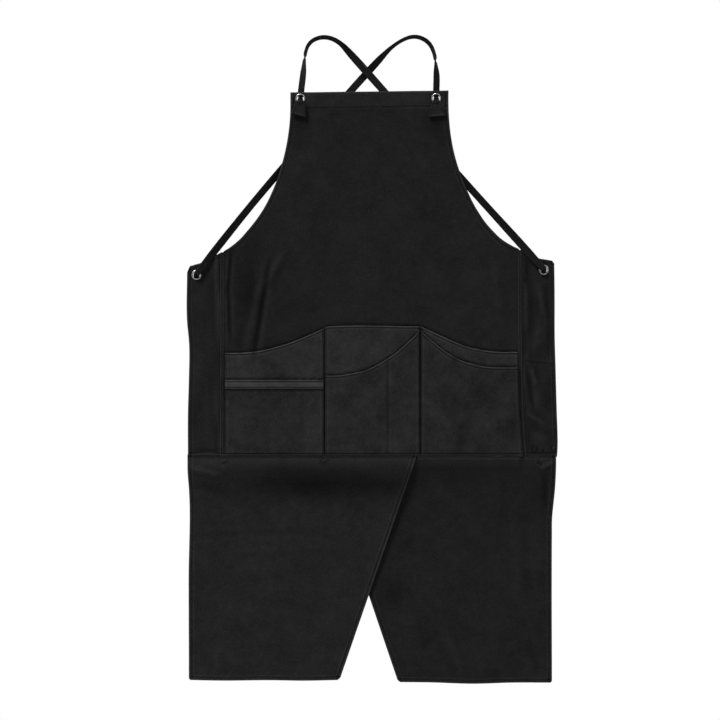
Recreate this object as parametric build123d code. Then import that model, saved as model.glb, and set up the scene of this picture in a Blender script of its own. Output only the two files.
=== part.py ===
from build123d import *
import math
import os

# Leather welding apron with crossed back straps and a split leg, hanging as it is worn.
# Frame, in millimetres: X to the right as seen from the front, -Y towards the viewer, +Z up.
# The origin is on the shoulder line, midway between the tops of the two strap loops.

# Leather
leather = 1.5
pocket_gape = 5.0
trim_leather = 1.1
swing_gap = 0.35

# Bib and upper body
bib_left = -131.5
bib_right = 129.5
bib_top_left = -93.0
bib_top_right = -90.0
bib_facing_depth = 23.0
armhole_top = -134.0
seam_left = -243.6
seam_right = 248.0
side_top_left = -355.0
side_top_right = -351.5
waist = -692.5
armhole_bend = [(143.0, -204.0), (177.0, -286.0), (220.0, -338.0)]

# Side panels
side_outer_left = -301.5
side_outer_right = 305.5
side_corner_left = -380.0
side_corner_right = -371.0
side_corner_cut = 5.0
seam_strip_width = 6.5
seam_clearance = 1.0

# Leg flaps
over_flap_left = -299.0
over_flap_top_right = 77.0
over_flap_bottom_right = -50.0
over_flap_bottom = -1062.5
under_flap_right = 301.0
under_flap_top_left = -80.0
under_flap_bottom_left = 47.0
under_flap_bottom = -1066.5
flap_corner = 6.0
flap_clearance = 1.2

# Pockets
pocket_left = -240.0
pocket_right = 244.6
divide_left = -75.2
divide_right = 82.8
divide_groove = 1.6
pen_slot_x = 29.7
back_shoulder = -478.5
back_outer = -522.0
band_top = -567.4
band_depth = 14.5

# Eyelets: centre of each hole
hole_radius = 5.1
barrel_wall = 0.4
leather_hole_radius = 5.6
flange_radius = 8.65
flange_height = 1.2
washer_radius = 8.2
washer_thickness = 0.6
lip_radius = 6.8
lip_thickness = 0.5
chest_left_eyelet = (-115.0, -102.8)
chest_right_eyelet = (109.2, -102.1)
waist_left_eyelet = (-286.3, -393.5)
waist_right_eyelet = (286.6, -385.1)

# Straps: a flat tape modelled as a round tube of the same section area
strap_radius = 2.5
strap_fill = 0.45

# Stopper tabs
tab_thickness = 2.6
tab_neck = 12.0
tab_drop = 4.4
tab_corner = 2.0
tab_standoff = 0.55

body_front = -leather / 2
body_back = leather / 2
side_back = body_back + swing_gap
side_front = body_front + swing_gap
facing_back = body_back + leather
flap_top = waist
upper_bottom = waist + flap_clearance
back_layer_face = body_front - pocket_gape - leather
front_layer_face = back_layer_face - pocket_gape - leather

hinge_left = seam_left - seam_clearance
hinge_right = seam_right + seam_clearance


def panel(face, back, thickness):
    """Extrudes a face drawn in X and Z towards the viewer, from y = back."""
    return extrude(Plane.XZ.offset(-back) * face, amount=thickness)


def outline(*edges):
    return make_face(Curve() + list(edges))


def block(low, high):
    """A box between two corners."""
    size = [high[i] - low[i] for i in range(3)]
    middle = [(high[i] + low[i]) / 2 for i in range(3)]
    return Pos(*middle) * Box(*size)


def drill(centre, radius):
    """A cutter along Y at an (x, z) centre."""
    depth = 60.0
    return Pos(centre[0], 0, centre[1]) * Rot(90, 0, 0) * Cylinder(radius, depth)


def rod_x(x0, x1, y, z, radius):
    return Pos((x0 + x1) / 2, y, z) * Rot(0, 90, 0) * Cylinder(radius, x1 - x0)


def rod_z(z0, z1, x, y, radius):
    return Pos(x, y, (z0 + z1) / 2) * Cylinder(radius, z1 - z0)


def armhole(side, seam_x, seam_top):
    """The curved edge from the top of the side seam up to the straight edge of the bib."""
    bib_edge = bib_left if side < 0 else bib_right
    points = [(bib_edge, armhole_top)]
    points += [(side * x, z) for x, z in armhole_bend]
    points += [(seam_x, seam_top)]
    return Spline(points, tangents=[(0, -1), (side, -0.5)])


def body_panel():
    left = armhole(-1, seam_left, side_top_left)
    right = armhole(1, seam_right, side_top_right)
    face = outline(
        left,
        Polyline((bib_left, armhole_top), (bib_left, bib_top_left), (bib_right, bib_top_right),
                 (bib_right, armhole_top)),
        right,
        Polyline((seam_right, side_top_right), (seam_right, upper_bottom),
                 (seam_left, upper_bottom), (seam_left, side_top_left)),
    )
    return panel(face, body_back, leather) - chest_holes()


def bib_facing():
    face = outline(Polyline(
        (bib_left, bib_top_left), (bib_right, bib_top_right),
        (bib_right, bib_top_right - bib_facing_depth), (bib_left, bib_top_left - bib_facing_depth),
        close=True))
    return panel(face, facing_back, leather) - chest_holes()


def chest_holes():
    return drill(chest_left_eyelet, leather_hole_radius) + drill(chest_right_eyelet, leather_hole_radius)


def side_panel(side):
    """One side panel: it hinges on the rounded edge beside the seam."""
    hinge = hinge_left if side < 0 else hinge_right
    outer = side_outer_left if side < 0 else side_outer_right
    top = side_top_left if side < 0 else side_top_right
    corner = side_corner_left if side < 0 else side_corner_right
    eyelet = waist_left_eyelet if side < 0 else waist_right_eyelet
    face = outline(Polyline(
        (hinge, top), (outer - side * side_corner_cut, corner), (outer, corner - side_corner_cut),
        (outer, upper_bottom), (hinge, upper_bottom), close=True))
    edge = rod_z(upper_bottom, top, hinge, (side_front + side_back) / 2, leather / 2)
    return panel(face, side_back, leather) + edge - drill(eyelet, leather_hole_radius)


def seam_strip(side):
    """The turned lap of a side seam, along the edge of the body panel."""
    edge = seam_left if side < 0 else seam_right
    top = side_top_left if side < 0 else side_top_right
    inner = edge - side * seam_strip_width * 0.5
    outer = edge + side * seam_strip_width * 0.5
    low_x = min(inner, outer)
    high_x = max(inner, outer)
    return block((low_x, body_front - trim_leather, upper_bottom), (high_x, body_front, top))


def tray(x0, x1, mouth, back, dividers=()):
    """A pocket layer: a front sheet with turned-back edges on three sides, open along its mouth."""
    sides = Polyline(mouth @ 1, (x1, upper_bottom), (x0, upper_bottom), mouth @ 0)
    body = panel(outline(mouth, sides), back, pocket_gape + leather)
    above = 20.0
    walls = [x0] + list(dividers) + [x1]
    for number, start in enumerate(walls[:-1]):
        end = walls[number + 1]
        left = start + (leather if start == x0 else leather / 2)
        right = end - (leather if end == x1 else leather / 2)
        hollow = block((left, back - pocket_gape, upper_bottom + leather),
                       (right, back + leather, back_shoulder + above))
        body = body - hollow
    return body


def left_pocket_back():
    x1 = divide_left - divide_groove / 2
    mouth = Spline((pocket_left, back_outer), (-193.0, -520.5), (-136.0, -507.0), (x1, -481.5),
                   tangents=[(1, 0), (1, 0.46)])
    return tray(pocket_left, x1, mouth, body_front)


def left_pocket_front():
    x1 = divide_left - divide_groove / 2
    return tray(pocket_left, x1, Line((pocket_left, band_top), (x1, band_top)), back_layer_face)


def left_pocket_band():
    x1 = divide_left - divide_groove / 2
    return block((pocket_left, front_layer_face - trim_leather, band_top - band_depth),
                 (x1, front_layer_face, band_top))


def centre_pocket_back():
    x0 = divide_left + divide_groove / 2
    x1 = divide_right - divide_groove / 2
    chamfer = 5.0
    mouth = Polyline((x0, back_shoulder - chamfer), (x0 + chamfer, back_shoulder), (x1, back_shoulder))
    return tray(x0, x1, mouth, body_front)


def centre_pocket_front():
    x0 = divide_left + divide_groove / 2
    x1 = divide_right - divide_groove / 2
    mouth = Spline((x0, -559.8), (-29.7, -556.0), (8.3, -544.2), (39.9, -523.9), (65.2, -502.4),
                   (x1, -481.5), tangents=[(1, 0), (0.5, 0.87)])
    return tray(x0, x1, mouth, back_layer_face, dividers=[pen_slot_x])


def right_pocket_back():
    x0 = divide_right + divide_groove / 2
    mouth = Spline((x0, back_shoulder), (110.6, -490.9), (156.4, -510.7), (202.5, -520.0),
                   (pocket_right, back_outer), tangents=[(1, -0.46), (1, 0)])
    return tray(x0, pocket_right, mouth, body_front)


def right_pocket_front():
    x0 = divide_right + divide_groove / 2
    mouth = Spline((x0, -486.0), (110.6, -509.5), (136.6, -528.0), (169.6, -541.0),
                   (pocket_right, -546.5), tangents=[(1, -0.9), (1, 0)])
    return tray(x0, pocket_right, mouth, back_layer_face)


def flap(corners, rounded, hinge_y):
    """A leg flap of one leather sheet, rounded along the top edge that it swings on."""
    face = outline(Polyline(*corners, close=True))
    tips = [v for v in face.vertices() if min(abs(v.X - x) + abs(v.Y - z) for x, z in rounded) < leather]
    face = fillet(tips, flap_corner)
    x0 = min(x for x, z in corners if z == flap_top)
    x1 = max(x for x, z in corners if z == flap_top)
    return panel(face, hinge_y + leather / 2, leather) + rod_x(x0, x1, hinge_y, flap_top, leather / 2)


def over_leg_flap():
    tip = (over_flap_bottom_right, over_flap_bottom)
    heel = (over_flap_left, over_flap_bottom)
    corners = [(over_flap_left, flap_top), (over_flap_top_right, flap_top), tip, heel]
    return flap(corners, [tip, heel], over_flap_y)


def under_leg_flap():
    tip = (under_flap_bottom_left, under_flap_bottom)
    heel = (under_flap_right, under_flap_bottom)
    corners = [(under_flap_top_left, flap_top), (under_flap_right, flap_top), heel, tip]
    return flap(corners, [tip, heel], 0.0)


over_flap_y = -(leather + swing_gap)


def grommet(centre, front, back):
    """The flanged half of an eyelet: a domed ring in front, a barrel and a rolled lip behind."""
    outer = hole_radius + barrel_wall
    lip_start = back + washer_thickness
    section = make_face(Curve() + [
        Polyline((hole_radius, lip_start + lip_thickness), (hole_radius, front)),
        ThreePointArc((hole_radius, front), ((hole_radius + flange_radius) / 2, front - flange_height),
                      (flange_radius, front)),
        Polyline((flange_radius, front), (outer, front), (outer, lip_start), (lip_radius, lip_start),
                 (lip_radius, lip_start + lip_thickness), (hole_radius, lip_start + lip_thickness)),
    ])
    return Pos(centre[0], 0, centre[1]) * revolve(section, Axis.Y)


def washer(centre, back):
    ring = Cylinder(washer_radius, washer_thickness) - Cylinder(leather_hole_radius, washer_thickness)
    return Pos(centre[0], back + washer_thickness / 2, centre[1]) * Rot(90, 0, 0) * ring


def tab(neck_x, axis_y, axis_z, corners):
    """A doubled leather stopper, wider at its foot, rounded where it turns on the tape."""
    left = (neck_x - tab_neck / 2, axis_z)
    right = (neck_x + tab_neck / 2, axis_z)
    face = outline(Polyline(left, *corners, right, close=True))
    foot = face.vertices().sort_by(Axis.Y)[:2]
    sheet = panel(fillet(foot, tab_corner), axis_y + tab_thickness / 2, tab_thickness)
    return sheet + rod_x(left[0], right[0], axis_y, axis_z, tab_thickness / 2)


chest_tab_y = body_front - flange_height - tab_standoff - tab_thickness / 2
waist_tab_y = side_back + washer_thickness + lip_thickness + tab_standoff + tab_thickness / 2


def chest_left_tab():
    x, z = chest_left_eyelet
    return tab(x, chest_tab_y, z - tab_drop, [(x - 15.0, -128.0), (x + 10.0, -134.5)])


def chest_right_tab():
    x, z = chest_right_eyelet
    return tab(x, chest_tab_y, z - tab_drop, [(x - 12.7, -133.3), (x + 16.2, -131.8)])


def waist_tab(eyelet):
    x, z = eyelet
    return tab(x, waist_tab_y, z - tab_drop, [(x - 14.0, z - 30.0), (x + 14.0, z - 30.0)])


def tape_end(eyelet):
    """The end of a tape where it goes through a waist eyelet to its tab."""
    front = side_front - flange_height
    back = waist_tab_y + tab_thickness / 2
    middle = (front + back) / 2
    return Pos(eyelet[0], middle, eyelet[1]) * Rot(90, 0, 0) * Cylinder(strap_radius - 0.3, back - front)


# The straps' routes run from the front of a chest eyelet, through it, up over the shoulder and down the
# back to the front of the opposite waist eyelet.
strap_left_route = [
    (-115.0, -4.6, -102.8),
    (-115.0, 6.4, -102.8),
    (-113.4, 6.4, -84.0),
    (-110.4, 6.4, -62.0),
    (-107.5, 6.5, -24.0),
    (-98.0, 6.8, -6.0),
    (-76.0, 7.0, 1.5),
    (-53.0, 6.8, -6.0),
    (-33.0, 6.6, -26.5),
    (150.0, 5.4, -233.0),
    (266.0, -5.0, -362.0),
    (286.6, -5.0, -385.1),
]
strap_right_route = [
    (109.2, -4.6, -102.1),
    (109.2, 6.4, -102.1),
    (109.8, 6.6, -84.0),
    (110.4, 7.4, -62.0),
    (107.8, 9.0, -28.0),
    (97.0, 11.0, -6.0),
    (73.0, 13.0, 4.0),
    (46.0, 14.0, -7.0),
    (18.0, 14.2, -32.0),
    (-165.0, 5.6, -239.0),
    (-264.0, -5.0, -364.0),
    (-286.3, -5.0, -393.5),
]


def strap(name, route):
    """A round tube along straight runs joined by the largest tangent arcs that the runs leave room for."""
    points = [Vector(*p) for p in route]
    runs = [(points[i + 1] - points[i]).length for i in range(len(points) - 1)]
    radii = []
    for i in range(1, len(points) - 1):
        turn = math.radians((points[i + 1] - points[i]).get_angle(points[i] - points[i - 1]))
        radii.append(strap_fill * min(runs[i - 1], runs[i]) / math.tan(turn / 2))
    path = FilletPolyline(*points, radius=radii)
    section = Plane(origin=path @ 0, z_dir=path % 0) * Circle(strap_radius)
    tube = sweep(section, path=path)
    expected = math.pi * strap_radius**2 * path.length
    print(name, "length", round(path.length, 1), "radii", [round(r, 1) for r in radii],
          "volume over expected", round(tube.volume / expected, 4))
    return tube


parts = {
    "body_panel": body_panel(),
    "bib_facing": bib_facing(),
    "left_side_panel": side_panel(-1),
    "right_side_panel": side_panel(1),
    "left_seam_strip": seam_strip(-1),
    "right_seam_strip": seam_strip(1),
    "left_pocket_back": left_pocket_back(),
    "left_pocket_front": left_pocket_front(),
    "left_pocket_band": left_pocket_band(),
    "centre_pocket_back": centre_pocket_back(),
    "centre_pocket_front": centre_pocket_front(),
    "right_pocket_back": right_pocket_back(),
    "right_pocket_front": right_pocket_front(),
    "over_leg_flap": over_leg_flap(),
    "under_leg_flap": under_leg_flap(),
    "chest_left_tab": chest_left_tab(),
    "chest_right_tab": chest_right_tab(),
    "waist_left_tab": waist_tab(waist_left_eyelet),
    "waist_right_tab": waist_tab(waist_right_eyelet),
    "waist_left_tape_end": tape_end(waist_left_eyelet),
    "waist_right_tape_end": tape_end(waist_right_eyelet),
    "strap_left_chest": strap("strap_left_chest", strap_left_route),
    "strap_right_chest": strap("strap_right_chest", strap_right_route),
}
eyelets = {
    "chest_left": (chest_left_eyelet, body_front, facing_back),
    "chest_right": (chest_right_eyelet, body_front, facing_back),
    "waist_left": (waist_left_eyelet, side_front, side_back),
    "waist_right": (waist_right_eyelet, side_front, side_back),
}
for name, (centre, front, back) in eyelets.items():
    parts[name + "_grommet"] = grommet(centre, front, back)
    parts[name + "_washer"] = washer(centre, back)

os.makedirs("parts", exist_ok=True)
for name, part in parts.items():
    export_step(part, f"parts/{name}.step")
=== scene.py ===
import math
import bpy
import numpy as np
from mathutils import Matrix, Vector


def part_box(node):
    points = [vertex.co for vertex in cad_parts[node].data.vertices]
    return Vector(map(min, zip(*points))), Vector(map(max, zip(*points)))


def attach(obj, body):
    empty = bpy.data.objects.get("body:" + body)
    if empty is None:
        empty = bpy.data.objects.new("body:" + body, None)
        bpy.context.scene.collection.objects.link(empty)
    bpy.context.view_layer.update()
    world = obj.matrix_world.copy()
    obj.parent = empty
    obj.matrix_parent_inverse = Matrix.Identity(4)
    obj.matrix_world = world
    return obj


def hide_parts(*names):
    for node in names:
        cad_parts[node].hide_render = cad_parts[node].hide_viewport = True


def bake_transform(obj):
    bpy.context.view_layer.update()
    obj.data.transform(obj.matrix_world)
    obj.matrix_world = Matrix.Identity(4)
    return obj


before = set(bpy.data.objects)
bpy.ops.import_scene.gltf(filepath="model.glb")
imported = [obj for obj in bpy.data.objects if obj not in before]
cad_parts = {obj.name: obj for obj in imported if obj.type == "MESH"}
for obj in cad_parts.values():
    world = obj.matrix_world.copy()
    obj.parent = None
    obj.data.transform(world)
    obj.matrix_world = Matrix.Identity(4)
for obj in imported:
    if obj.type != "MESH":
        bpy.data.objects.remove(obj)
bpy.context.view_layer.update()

# Everything is in metres. X runs to the right as seen from the front, Z up, and the front faces -Y.
# "out" is the distance of a surface in front of the plane of the bib, so y = -out.
MM = 0.001
LEATHER = 1.5 * MM
POCKET_LEATHER = 1.3 * MM
TAPE_WIDTH = 12.0 * MM
TAPE_THICKNESS = 2.3 * MM
HOLE_RADIUS = 6.2 * MM

SKY_LOW = 0.01
SKY_HIGH = 0.06

BODY_LOW, BODY_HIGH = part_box("body_panel")
SIDE_LEFT_LOW, SIDE_LEFT_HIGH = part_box("left_side_panel")
OVER_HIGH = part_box("over_leg_flap")[1]
UNDER_LOW, UNDER_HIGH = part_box("under_leg_flap")
FACING_LOW, FACING_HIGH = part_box("bib_facing")
WAIST = OVER_HIGH.z - LEATHER / 2
SEAM_LEFT = BODY_LOW.x
SEAM_RIGHT = BODY_HIGH.x
BIB_LEFT = FACING_LOW.x
BIB_RIGHT = FACING_HIGH.x

# How far down and out a row of stitches is looked for.
BOTTOM = UNDER_LOW.z - 0.02
WIDEST = UNDER_HIGH.x + 0.02

CAMERA_PLACE = (-0.0165, -3.3, -0.534)
CAMERA_LENS = 100


def centre_of(node):
    low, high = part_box(node)
    return (low + high) / 2


# The body that each eyelet rides on, and each eyelet's centre.
EYELET_BODIES = {
    "chest_left": "root",
    "chest_right": "root",
    "waist_left": "left_side",
    "waist_right": "right_side",
}
EYELETS = {name: centre_of(name + "_grommet") for name in EYELET_BODIES}


def add_object(name, data):
    obj = bpy.data.objects.new(name, data)
    bpy.context.scene.collection.objects.link(obj)
    return obj


def shade_smooth(mesh):
    mesh.polygons.foreach_set("use_smooth", np.ones(len(mesh.polygons), bool))


# ---------------------------------------------------------------- camera, world, light

def make_camera():
    """Straight on from the front, at the height of the apron's middle."""
    data = bpy.data.cameras.new("camera")
    data.lens = CAMERA_LENS
    camera = add_object("camera", data)
    camera.location = CAMERA_PLACE
    camera.rotation_euler = (math.pi / 2, 0, 0)
    bpy.context.scene.camera = camera


def make_world():
    """White to the camera. As a light it is a dim sky, brighter above than below."""
    world = bpy.data.worlds.new("studio")
    bpy.context.scene.world = world
    world.use_nodes = True
    nodes = world.node_tree.nodes
    links = world.node_tree.links
    nodes.clear()
    seen = nodes.new("ShaderNodeBackground")
    seen.inputs["Color"].default_value = (1, 1, 1, 1)
    seen.inputs["Strength"].default_value = 1.0
    direction = nodes.new("ShaderNodeTexCoord")
    split = nodes.new("ShaderNodeSeparateXYZ")
    height = nodes.new("ShaderNodeMapRange")
    links.new(direction.outputs["Generated"], split.inputs[0])
    links.new(split.outputs["Z"], height.inputs["Value"])
    height.inputs["From Min"].default_value = -0.5
    height.inputs["From Max"].default_value = 0.7
    height.inputs["To Min"].default_value = SKY_LOW
    height.inputs["To Max"].default_value = SKY_HIGH
    light = nodes.new("ShaderNodeBackground")
    light.inputs["Color"].default_value = (0.96, 0.98, 1, 1)
    links.new(height.outputs["Result"], light.inputs["Strength"])
    ray = nodes.new("ShaderNodeLightPath")
    mix = nodes.new("ShaderNodeMixShader")
    out = nodes.new("ShaderNodeOutputWorld")
    links.new(ray.outputs["Is Camera Ray"], mix.inputs["Fac"])
    links.new(light.outputs[0], mix.inputs[1])
    links.new(seen.outputs[0], mix.inputs[2])
    links.new(mix.outputs[0], out.inputs["Surface"])


def place_light(name, data, place, target):
    light = add_object(name, data)
    light.location = place
    light.rotation_euler = (Vector(target) - Vector(place)).to_track_quat("-Z", "Y").to_euler()
    light.visible_camera = False


def area_light(name, place, size, power):
    data = bpy.data.lights.new(name, "AREA")
    data.shape = "RECTANGLE"
    data.size, data.size_y = size
    data.energy = power
    place_light(name, data, place, (0, 0, -0.5))


def far_light(name, place, spread, strength):
    """A large softbox far away, so that the light is even from the bib to the hem."""
    data = bpy.data.lights.new(name, "SUN")
    data.angle = math.radians(spread)
    data.energy = strength
    place_light(name, data, place, (0, 0, 0))


def make_lights():
    far_light("key", (-1.5, -1.35, 3.2), 14, 3.0)
    far_light("side", (2.8, -1.2, 2.0), 30, 0.5)
    far_light("behind_left", (-2.2, 1.6, 1.4), 30, 0.9)
    far_light("behind_right", (2.2, 1.6, 1.4), 30, 0.9)
    area_light("front", (-0.2, -4.4, -0.1), (0.9, 0.9), 3.0)


def make_floor():
    """A seamless white studio floor that throws little light back up."""
    mesh = bpy.data.meshes.new("floor")
    reach = 6.0
    z = UNDER_LOW.z - 0.10
    corners = [(-reach, -reach, z), (reach, -reach, z), (reach, reach, z), (-reach, reach, z)]
    mesh.from_pydata(corners, [], [(0, 1, 2, 3)])
    floor = add_object("floor", mesh)
    material = bpy.data.materials.new("floor")
    material.use_nodes = True
    nodes = material.node_tree.nodes
    links = material.node_tree.links
    nodes.clear()
    seen = nodes.new("ShaderNodeEmission")
    seen.inputs["Color"].default_value = (1, 1, 1, 1)
    dull = nodes.new("ShaderNodeBsdfDiffuse")
    dull.inputs["Color"].default_value = (0.30, 0.30, 0.30, 1)
    ray = nodes.new("ShaderNodeLightPath")
    mix = nodes.new("ShaderNodeMixShader")
    out = nodes.new("ShaderNodeOutputMaterial")
    links.new(ray.outputs["Is Camera Ray"], mix.inputs["Fac"])
    links.new(dull.outputs[0], mix.inputs[1])
    links.new(seen.outputs[0], mix.inputs[2])
    links.new(mix.outputs[0], out.inputs["Surface"])
    mesh.materials.append(material)


# ---------------------------------------------------------------- materials

class Nodes:
    """A short way to build one material's node tree."""

    def __init__(self, name):
        self.material = bpy.data.materials.new(name)
        self.material.use_nodes = True
        self.tree = self.material.node_tree
        self.shader = self.tree.nodes["Principled BSDF"]
        self.uv = self.tree.nodes.new("ShaderNodeUVMap").outputs[0]

    def node(self, kind, **inputs):
        made = self.tree.nodes.new(kind)
        for name, value in inputs.items():
            socket = made.inputs[name.replace("_", " ")]
            if isinstance(value, bpy.types.NodeSocket):
                self.tree.links.new(value, socket)
            else:
                socket.default_value = value
        return made

    def noise(self, scale, detail=4.0, rough=0.55, vector=None):
        place = vector or self.uv
        made = self.node("ShaderNodeTexNoise", Vector=place, Scale=scale, Detail=detail, Roughness=rough)
        return made.outputs["Fac"]

    def ramp(self, value, low, high, dark, light):
        """Maps value from low..high to dark..light, as numbers or colours."""
        if hasattr(dark, "__len__"):
            return self.mix_colour(self.ramp(value, low, high, 0.0, 1.0), dark, light)
        made = self.tree.nodes.new("ShaderNodeMapRange")
        self.tree.links.new(value, made.inputs["Value"])
        for name, number in (("From Min", low), ("From Max", high), ("To Min", dark), ("To Max", light)):
            made.inputs[name].default_value = number
        return made.outputs["Result"]

    def math(self, operation, a, b):
        made = self.tree.nodes.new("ShaderNodeMath")
        made.operation = operation
        for index, value in enumerate((a, b)):
            if isinstance(value, bpy.types.NodeSocket):
                self.tree.links.new(value, made.inputs[index])
            else:
                made.inputs[index].default_value = value
        return made.outputs[0]

    def bump(self, height, distance, strength=1.0, normal=None):
        made = self.node("ShaderNodeBump", Height=height, Distance=distance, Strength=strength)
        if normal is not None:
            self.tree.links.new(normal, made.inputs["Normal"])
        return made.outputs["Normal"]

    def attribute(self, name):
        made = self.tree.nodes.new("ShaderNodeAttribute")
        made.attribute_name = name
        return made.outputs["Fac"]

    def mix_colour(self, fac, a, b):
        mix = self.tree.nodes.new("ShaderNodeMix")
        mix.data_type = "RGBA"
        self.tree.links.new(fac, mix.inputs[0])
        for index, value in ((6, a), (7, b)):
            if isinstance(value, bpy.types.NodeSocket):
                self.tree.links.new(value, mix.inputs[index])
            else:
                mix.inputs[index].default_value = (*value, 1)
        return mix.outputs[2]

    def scaled(self, colour, factor):
        made = self.tree.nodes.new("ShaderNodeVectorMath")
        made.operation = "SCALE"
        self.tree.links.new(colour, made.inputs[0])
        self.tree.links.new(factor, made.inputs["Scale"])
        return made.outputs[0]

    def set(self, **inputs):
        for name, value in inputs.items():
            socket = self.shader.inputs[name.replace("_", " ")]
            if isinstance(value, bpy.types.NodeSocket):
                self.tree.links.new(value, socket)
            else:
                socket.default_value = value


def grey(level):
    return (level, level, level * 1.03)


def leather(name, level, roughness, crease=0.5, gloss=0.07, mottled=0.24):
    """Black finished leather: pebble grain, fine creases, patchy colour, and edges and stitch lines made paler,
    partly for wear and partly as painted highlight. The tone attribute scales the colour and carries painted
    shade.
    """
    m = Nodes(name)
    patches = m.noise(26.0, 8.0, 0.72)
    colour = m.ramp(patches, 0.3, 0.7, grey(level * (1 - mottled)), grey(level * (1 + mottled)))
    specks = m.noise(300.0, 4.0, 0.65)
    colour = m.mix_colour(m.ramp(specks, 0.45, 0.75, 0.0, 0.6), colour, grey(level * 1.9))
    # Painted highlight with some wear: the colour goes paler along folded edges and beside stitch rows.
    wear_and_highlight = m.math("MULTIPLY", m.attribute("wear_and_highlight"), m.ramp(m.noise(60.0, 4.0), 0.3, 0.65, 0.45, 1.0))
    colour = m.mix_colour(wear_and_highlight, colour, grey(level * 2.9))
    colour = m.scaled(colour, m.attribute("tone"))
    cells = m.node("ShaderNodeTexVoronoi", Vector=m.uv, Scale=620.0, Randomness=1.0)
    cells.feature = "SMOOTH_F1"
    pebble = m.ramp(cells.outputs["Distance"], 0.0, 0.75, 1.0, 0.0)
    stretched = m.node("ShaderNodeMapping", Vector=m.uv)
    stretched.inputs["Scale"].default_value = (1.0, 0.6, 1.0)
    creases = m.noise(150.0, 6.0, 0.62, stretched.outputs[0])
    normal = m.bump(creases, 0.5 * MM, crease)
    normal = m.bump(pebble, 0.16 * MM, 0.8, normal)
    rough = m.ramp(m.noise(30.0, 4.0), 0.3, 0.7, roughness - 0.06, roughness + 0.08)
    m.set(Base_Color=colour, Roughness=rough, Normal=normal)
    m.set(Specular_IOR_Level=gloss)
    return m.material


def suede(name, level):
    """The flesh side of the leather: a short, matt nap."""
    m = Nodes(name)
    colour = m.ramp(m.noise(40.0, 6.0, 0.7), 0.3, 0.7, grey(level * 0.75), grey(level * 1.3))
    normal = m.bump(m.noise(1400.0, 4.0, 0.7), 0.25 * MM, 0.8)
    m.set(Base_Color=colour, Normal=normal, Roughness=0.95, Specular_IOR_Level=0.15)
    m.set(Sheen_Weight=0.15, Sheen_Roughness=0.5)
    return m.material


def tape_weave(name, level):
    """Flat woven tape: a herringbone of two mirrored sets of diagonal ribs."""
    m = Nodes(name)
    split = m.node("ShaderNodeSeparateXYZ", Vector=m.uv)
    across, along = split.outputs["X"], split.outputs["Y"]
    folded = m.math("ABSOLUTE", across, 0.0)
    slanted = m.math("ADD", along, m.math("MULTIPLY", folded, 0.9))
    turns = 2 * math.pi / (1.9 * MM)
    ribs = m.math("SINE", m.math("MULTIPLY", slanted, turns), 0.0)
    height = m.ramp(ribs, -1.0, 1.0, 0.0, 1.0)
    threads = m.math("SINE", m.math("MULTIPLY", across, 2 * math.pi / (0.75 * MM)), 0.0)
    height = m.math("ADD", height, m.math("MULTIPLY", threads, 0.18))
    colour = m.ramp(height, 0.1, 0.9, grey(level * 0.35), grey(level * 1.6))
    fuzz = m.bump(m.noise(2500.0, 3.0), 0.08 * MM, 0.5)
    normal = m.bump(height, 0.3 * MM, 0.9, fuzz)
    m.set(Base_Color=colour, Normal=normal, Roughness=0.9, Specular_IOR_Level=0.12)
    return m.material


def thread(name, level):
    m = Nodes(name)
    twist = m.node("ShaderNodeTexWave", Vector=m.uv, Scale=900.0, Distortion=1.0)
    colour = m.ramp(twist.outputs["Fac"], 0.0, 1.0, grey(level * 0.6), grey(level * 1.3))
    m.set(Base_Color=colour, Roughness=0.5, Specular_IOR_Level=0.45)
    m.set(Normal=m.bump(twist.outputs["Fac"], 0.1 * MM, 0.6))
    return m.material


def nickel(name):
    """Polished nickel plate with faint scratches."""
    m = Nodes(name)
    place = m.tree.nodes.new("ShaderNodeTexCoord").outputs["Object"]
    scratches = m.noise(900.0, 5.0, 0.7, place)
    cloud = m.noise(220.0, 3.0, 0.5, place)
    m.set(Base_Color=m.ramp(cloud, 0.3, 0.7, (0.93, 0.93, 0.91), (0.98, 0.98, 0.97)))
    m.set(Roughness=m.ramp(scratches, 0.3, 0.7, 0.34, 0.44), Metallic=1.0)
    m.set(Normal=m.bump(scratches, 0.02 * MM, 0.3))
    return m.material


# The pocket and trim leathers are given paler levels than the body as painted light: the same black leather, made
# paler where it catches more light.
MATERIALS = {
    "body": leather("body_leather", 0.0218, 0.50),
    "side": leather("side_leather", 0.0152, 0.36, crease=0.9, gloss=0.17),
    "pocket": leather("pocket_leather", 0.0298, 0.52, mottled=0.46),
    "trim": leather("trim_leather", 0.0520, 0.46),
    "suede": suede("suede_back", 0.022),
    "tape": tape_weave("woven_tape", 0.019),
    "thread": thread("black_thread", 0.020),
    "nickel": nickel("nickel_plate"),
}


# ---------------------------------------------------------------- curves and small maths

# The side of the square of random numbers that mottle() repeats.
LATTICE = 97


def smoothstep(low, high, value):
    t = np.clip((value - low) / (high - low), 0, 1)
    return t * t * (3 - 2 * t)


def curve(*points):
    """A smooth function through (t, value) points, flat beyond the ends."""
    t = np.array([p[0] for p in points], float)
    v = np.array([p[1] for p in points], float)
    order = np.argsort(t)
    t, v = t[order], v[order]
    slope = np.gradient(v, t) if len(t) > 2 else np.full(len(t), (v[1] - v[0]) / (t[1] - t[0]))
    dense = np.linspace(t[0], t[-1], 800)
    i = np.clip(np.searchsorted(t, dense) - 1, 0, len(t) - 2)
    h = t[i + 1] - t[i]
    s = (dense - t[i]) / h
    values = ((2 * s**3 - 3 * s**2 + 1) * v[i] + (s**3 - 2 * s**2 + s) * h * slope[i]
              + (3 * s**2 - 2 * s**3) * v[i + 1] + (s**3 - s**2) * h * slope[i + 1])
    return lambda x: np.interp(x, dense, values)


def constant(value):
    return lambda x: np.full_like(np.asarray(x, float), value)


def wave(x, z, *terms):
    """A sum of slow sine waves: each term is (height, length in x, length in z, phase)."""
    total = 0
    for height, along_x, along_z, phase in terms:
        total = total + height * np.sin(2 * np.pi * (x / along_x + z / along_z) + phase)
    return total


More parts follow.
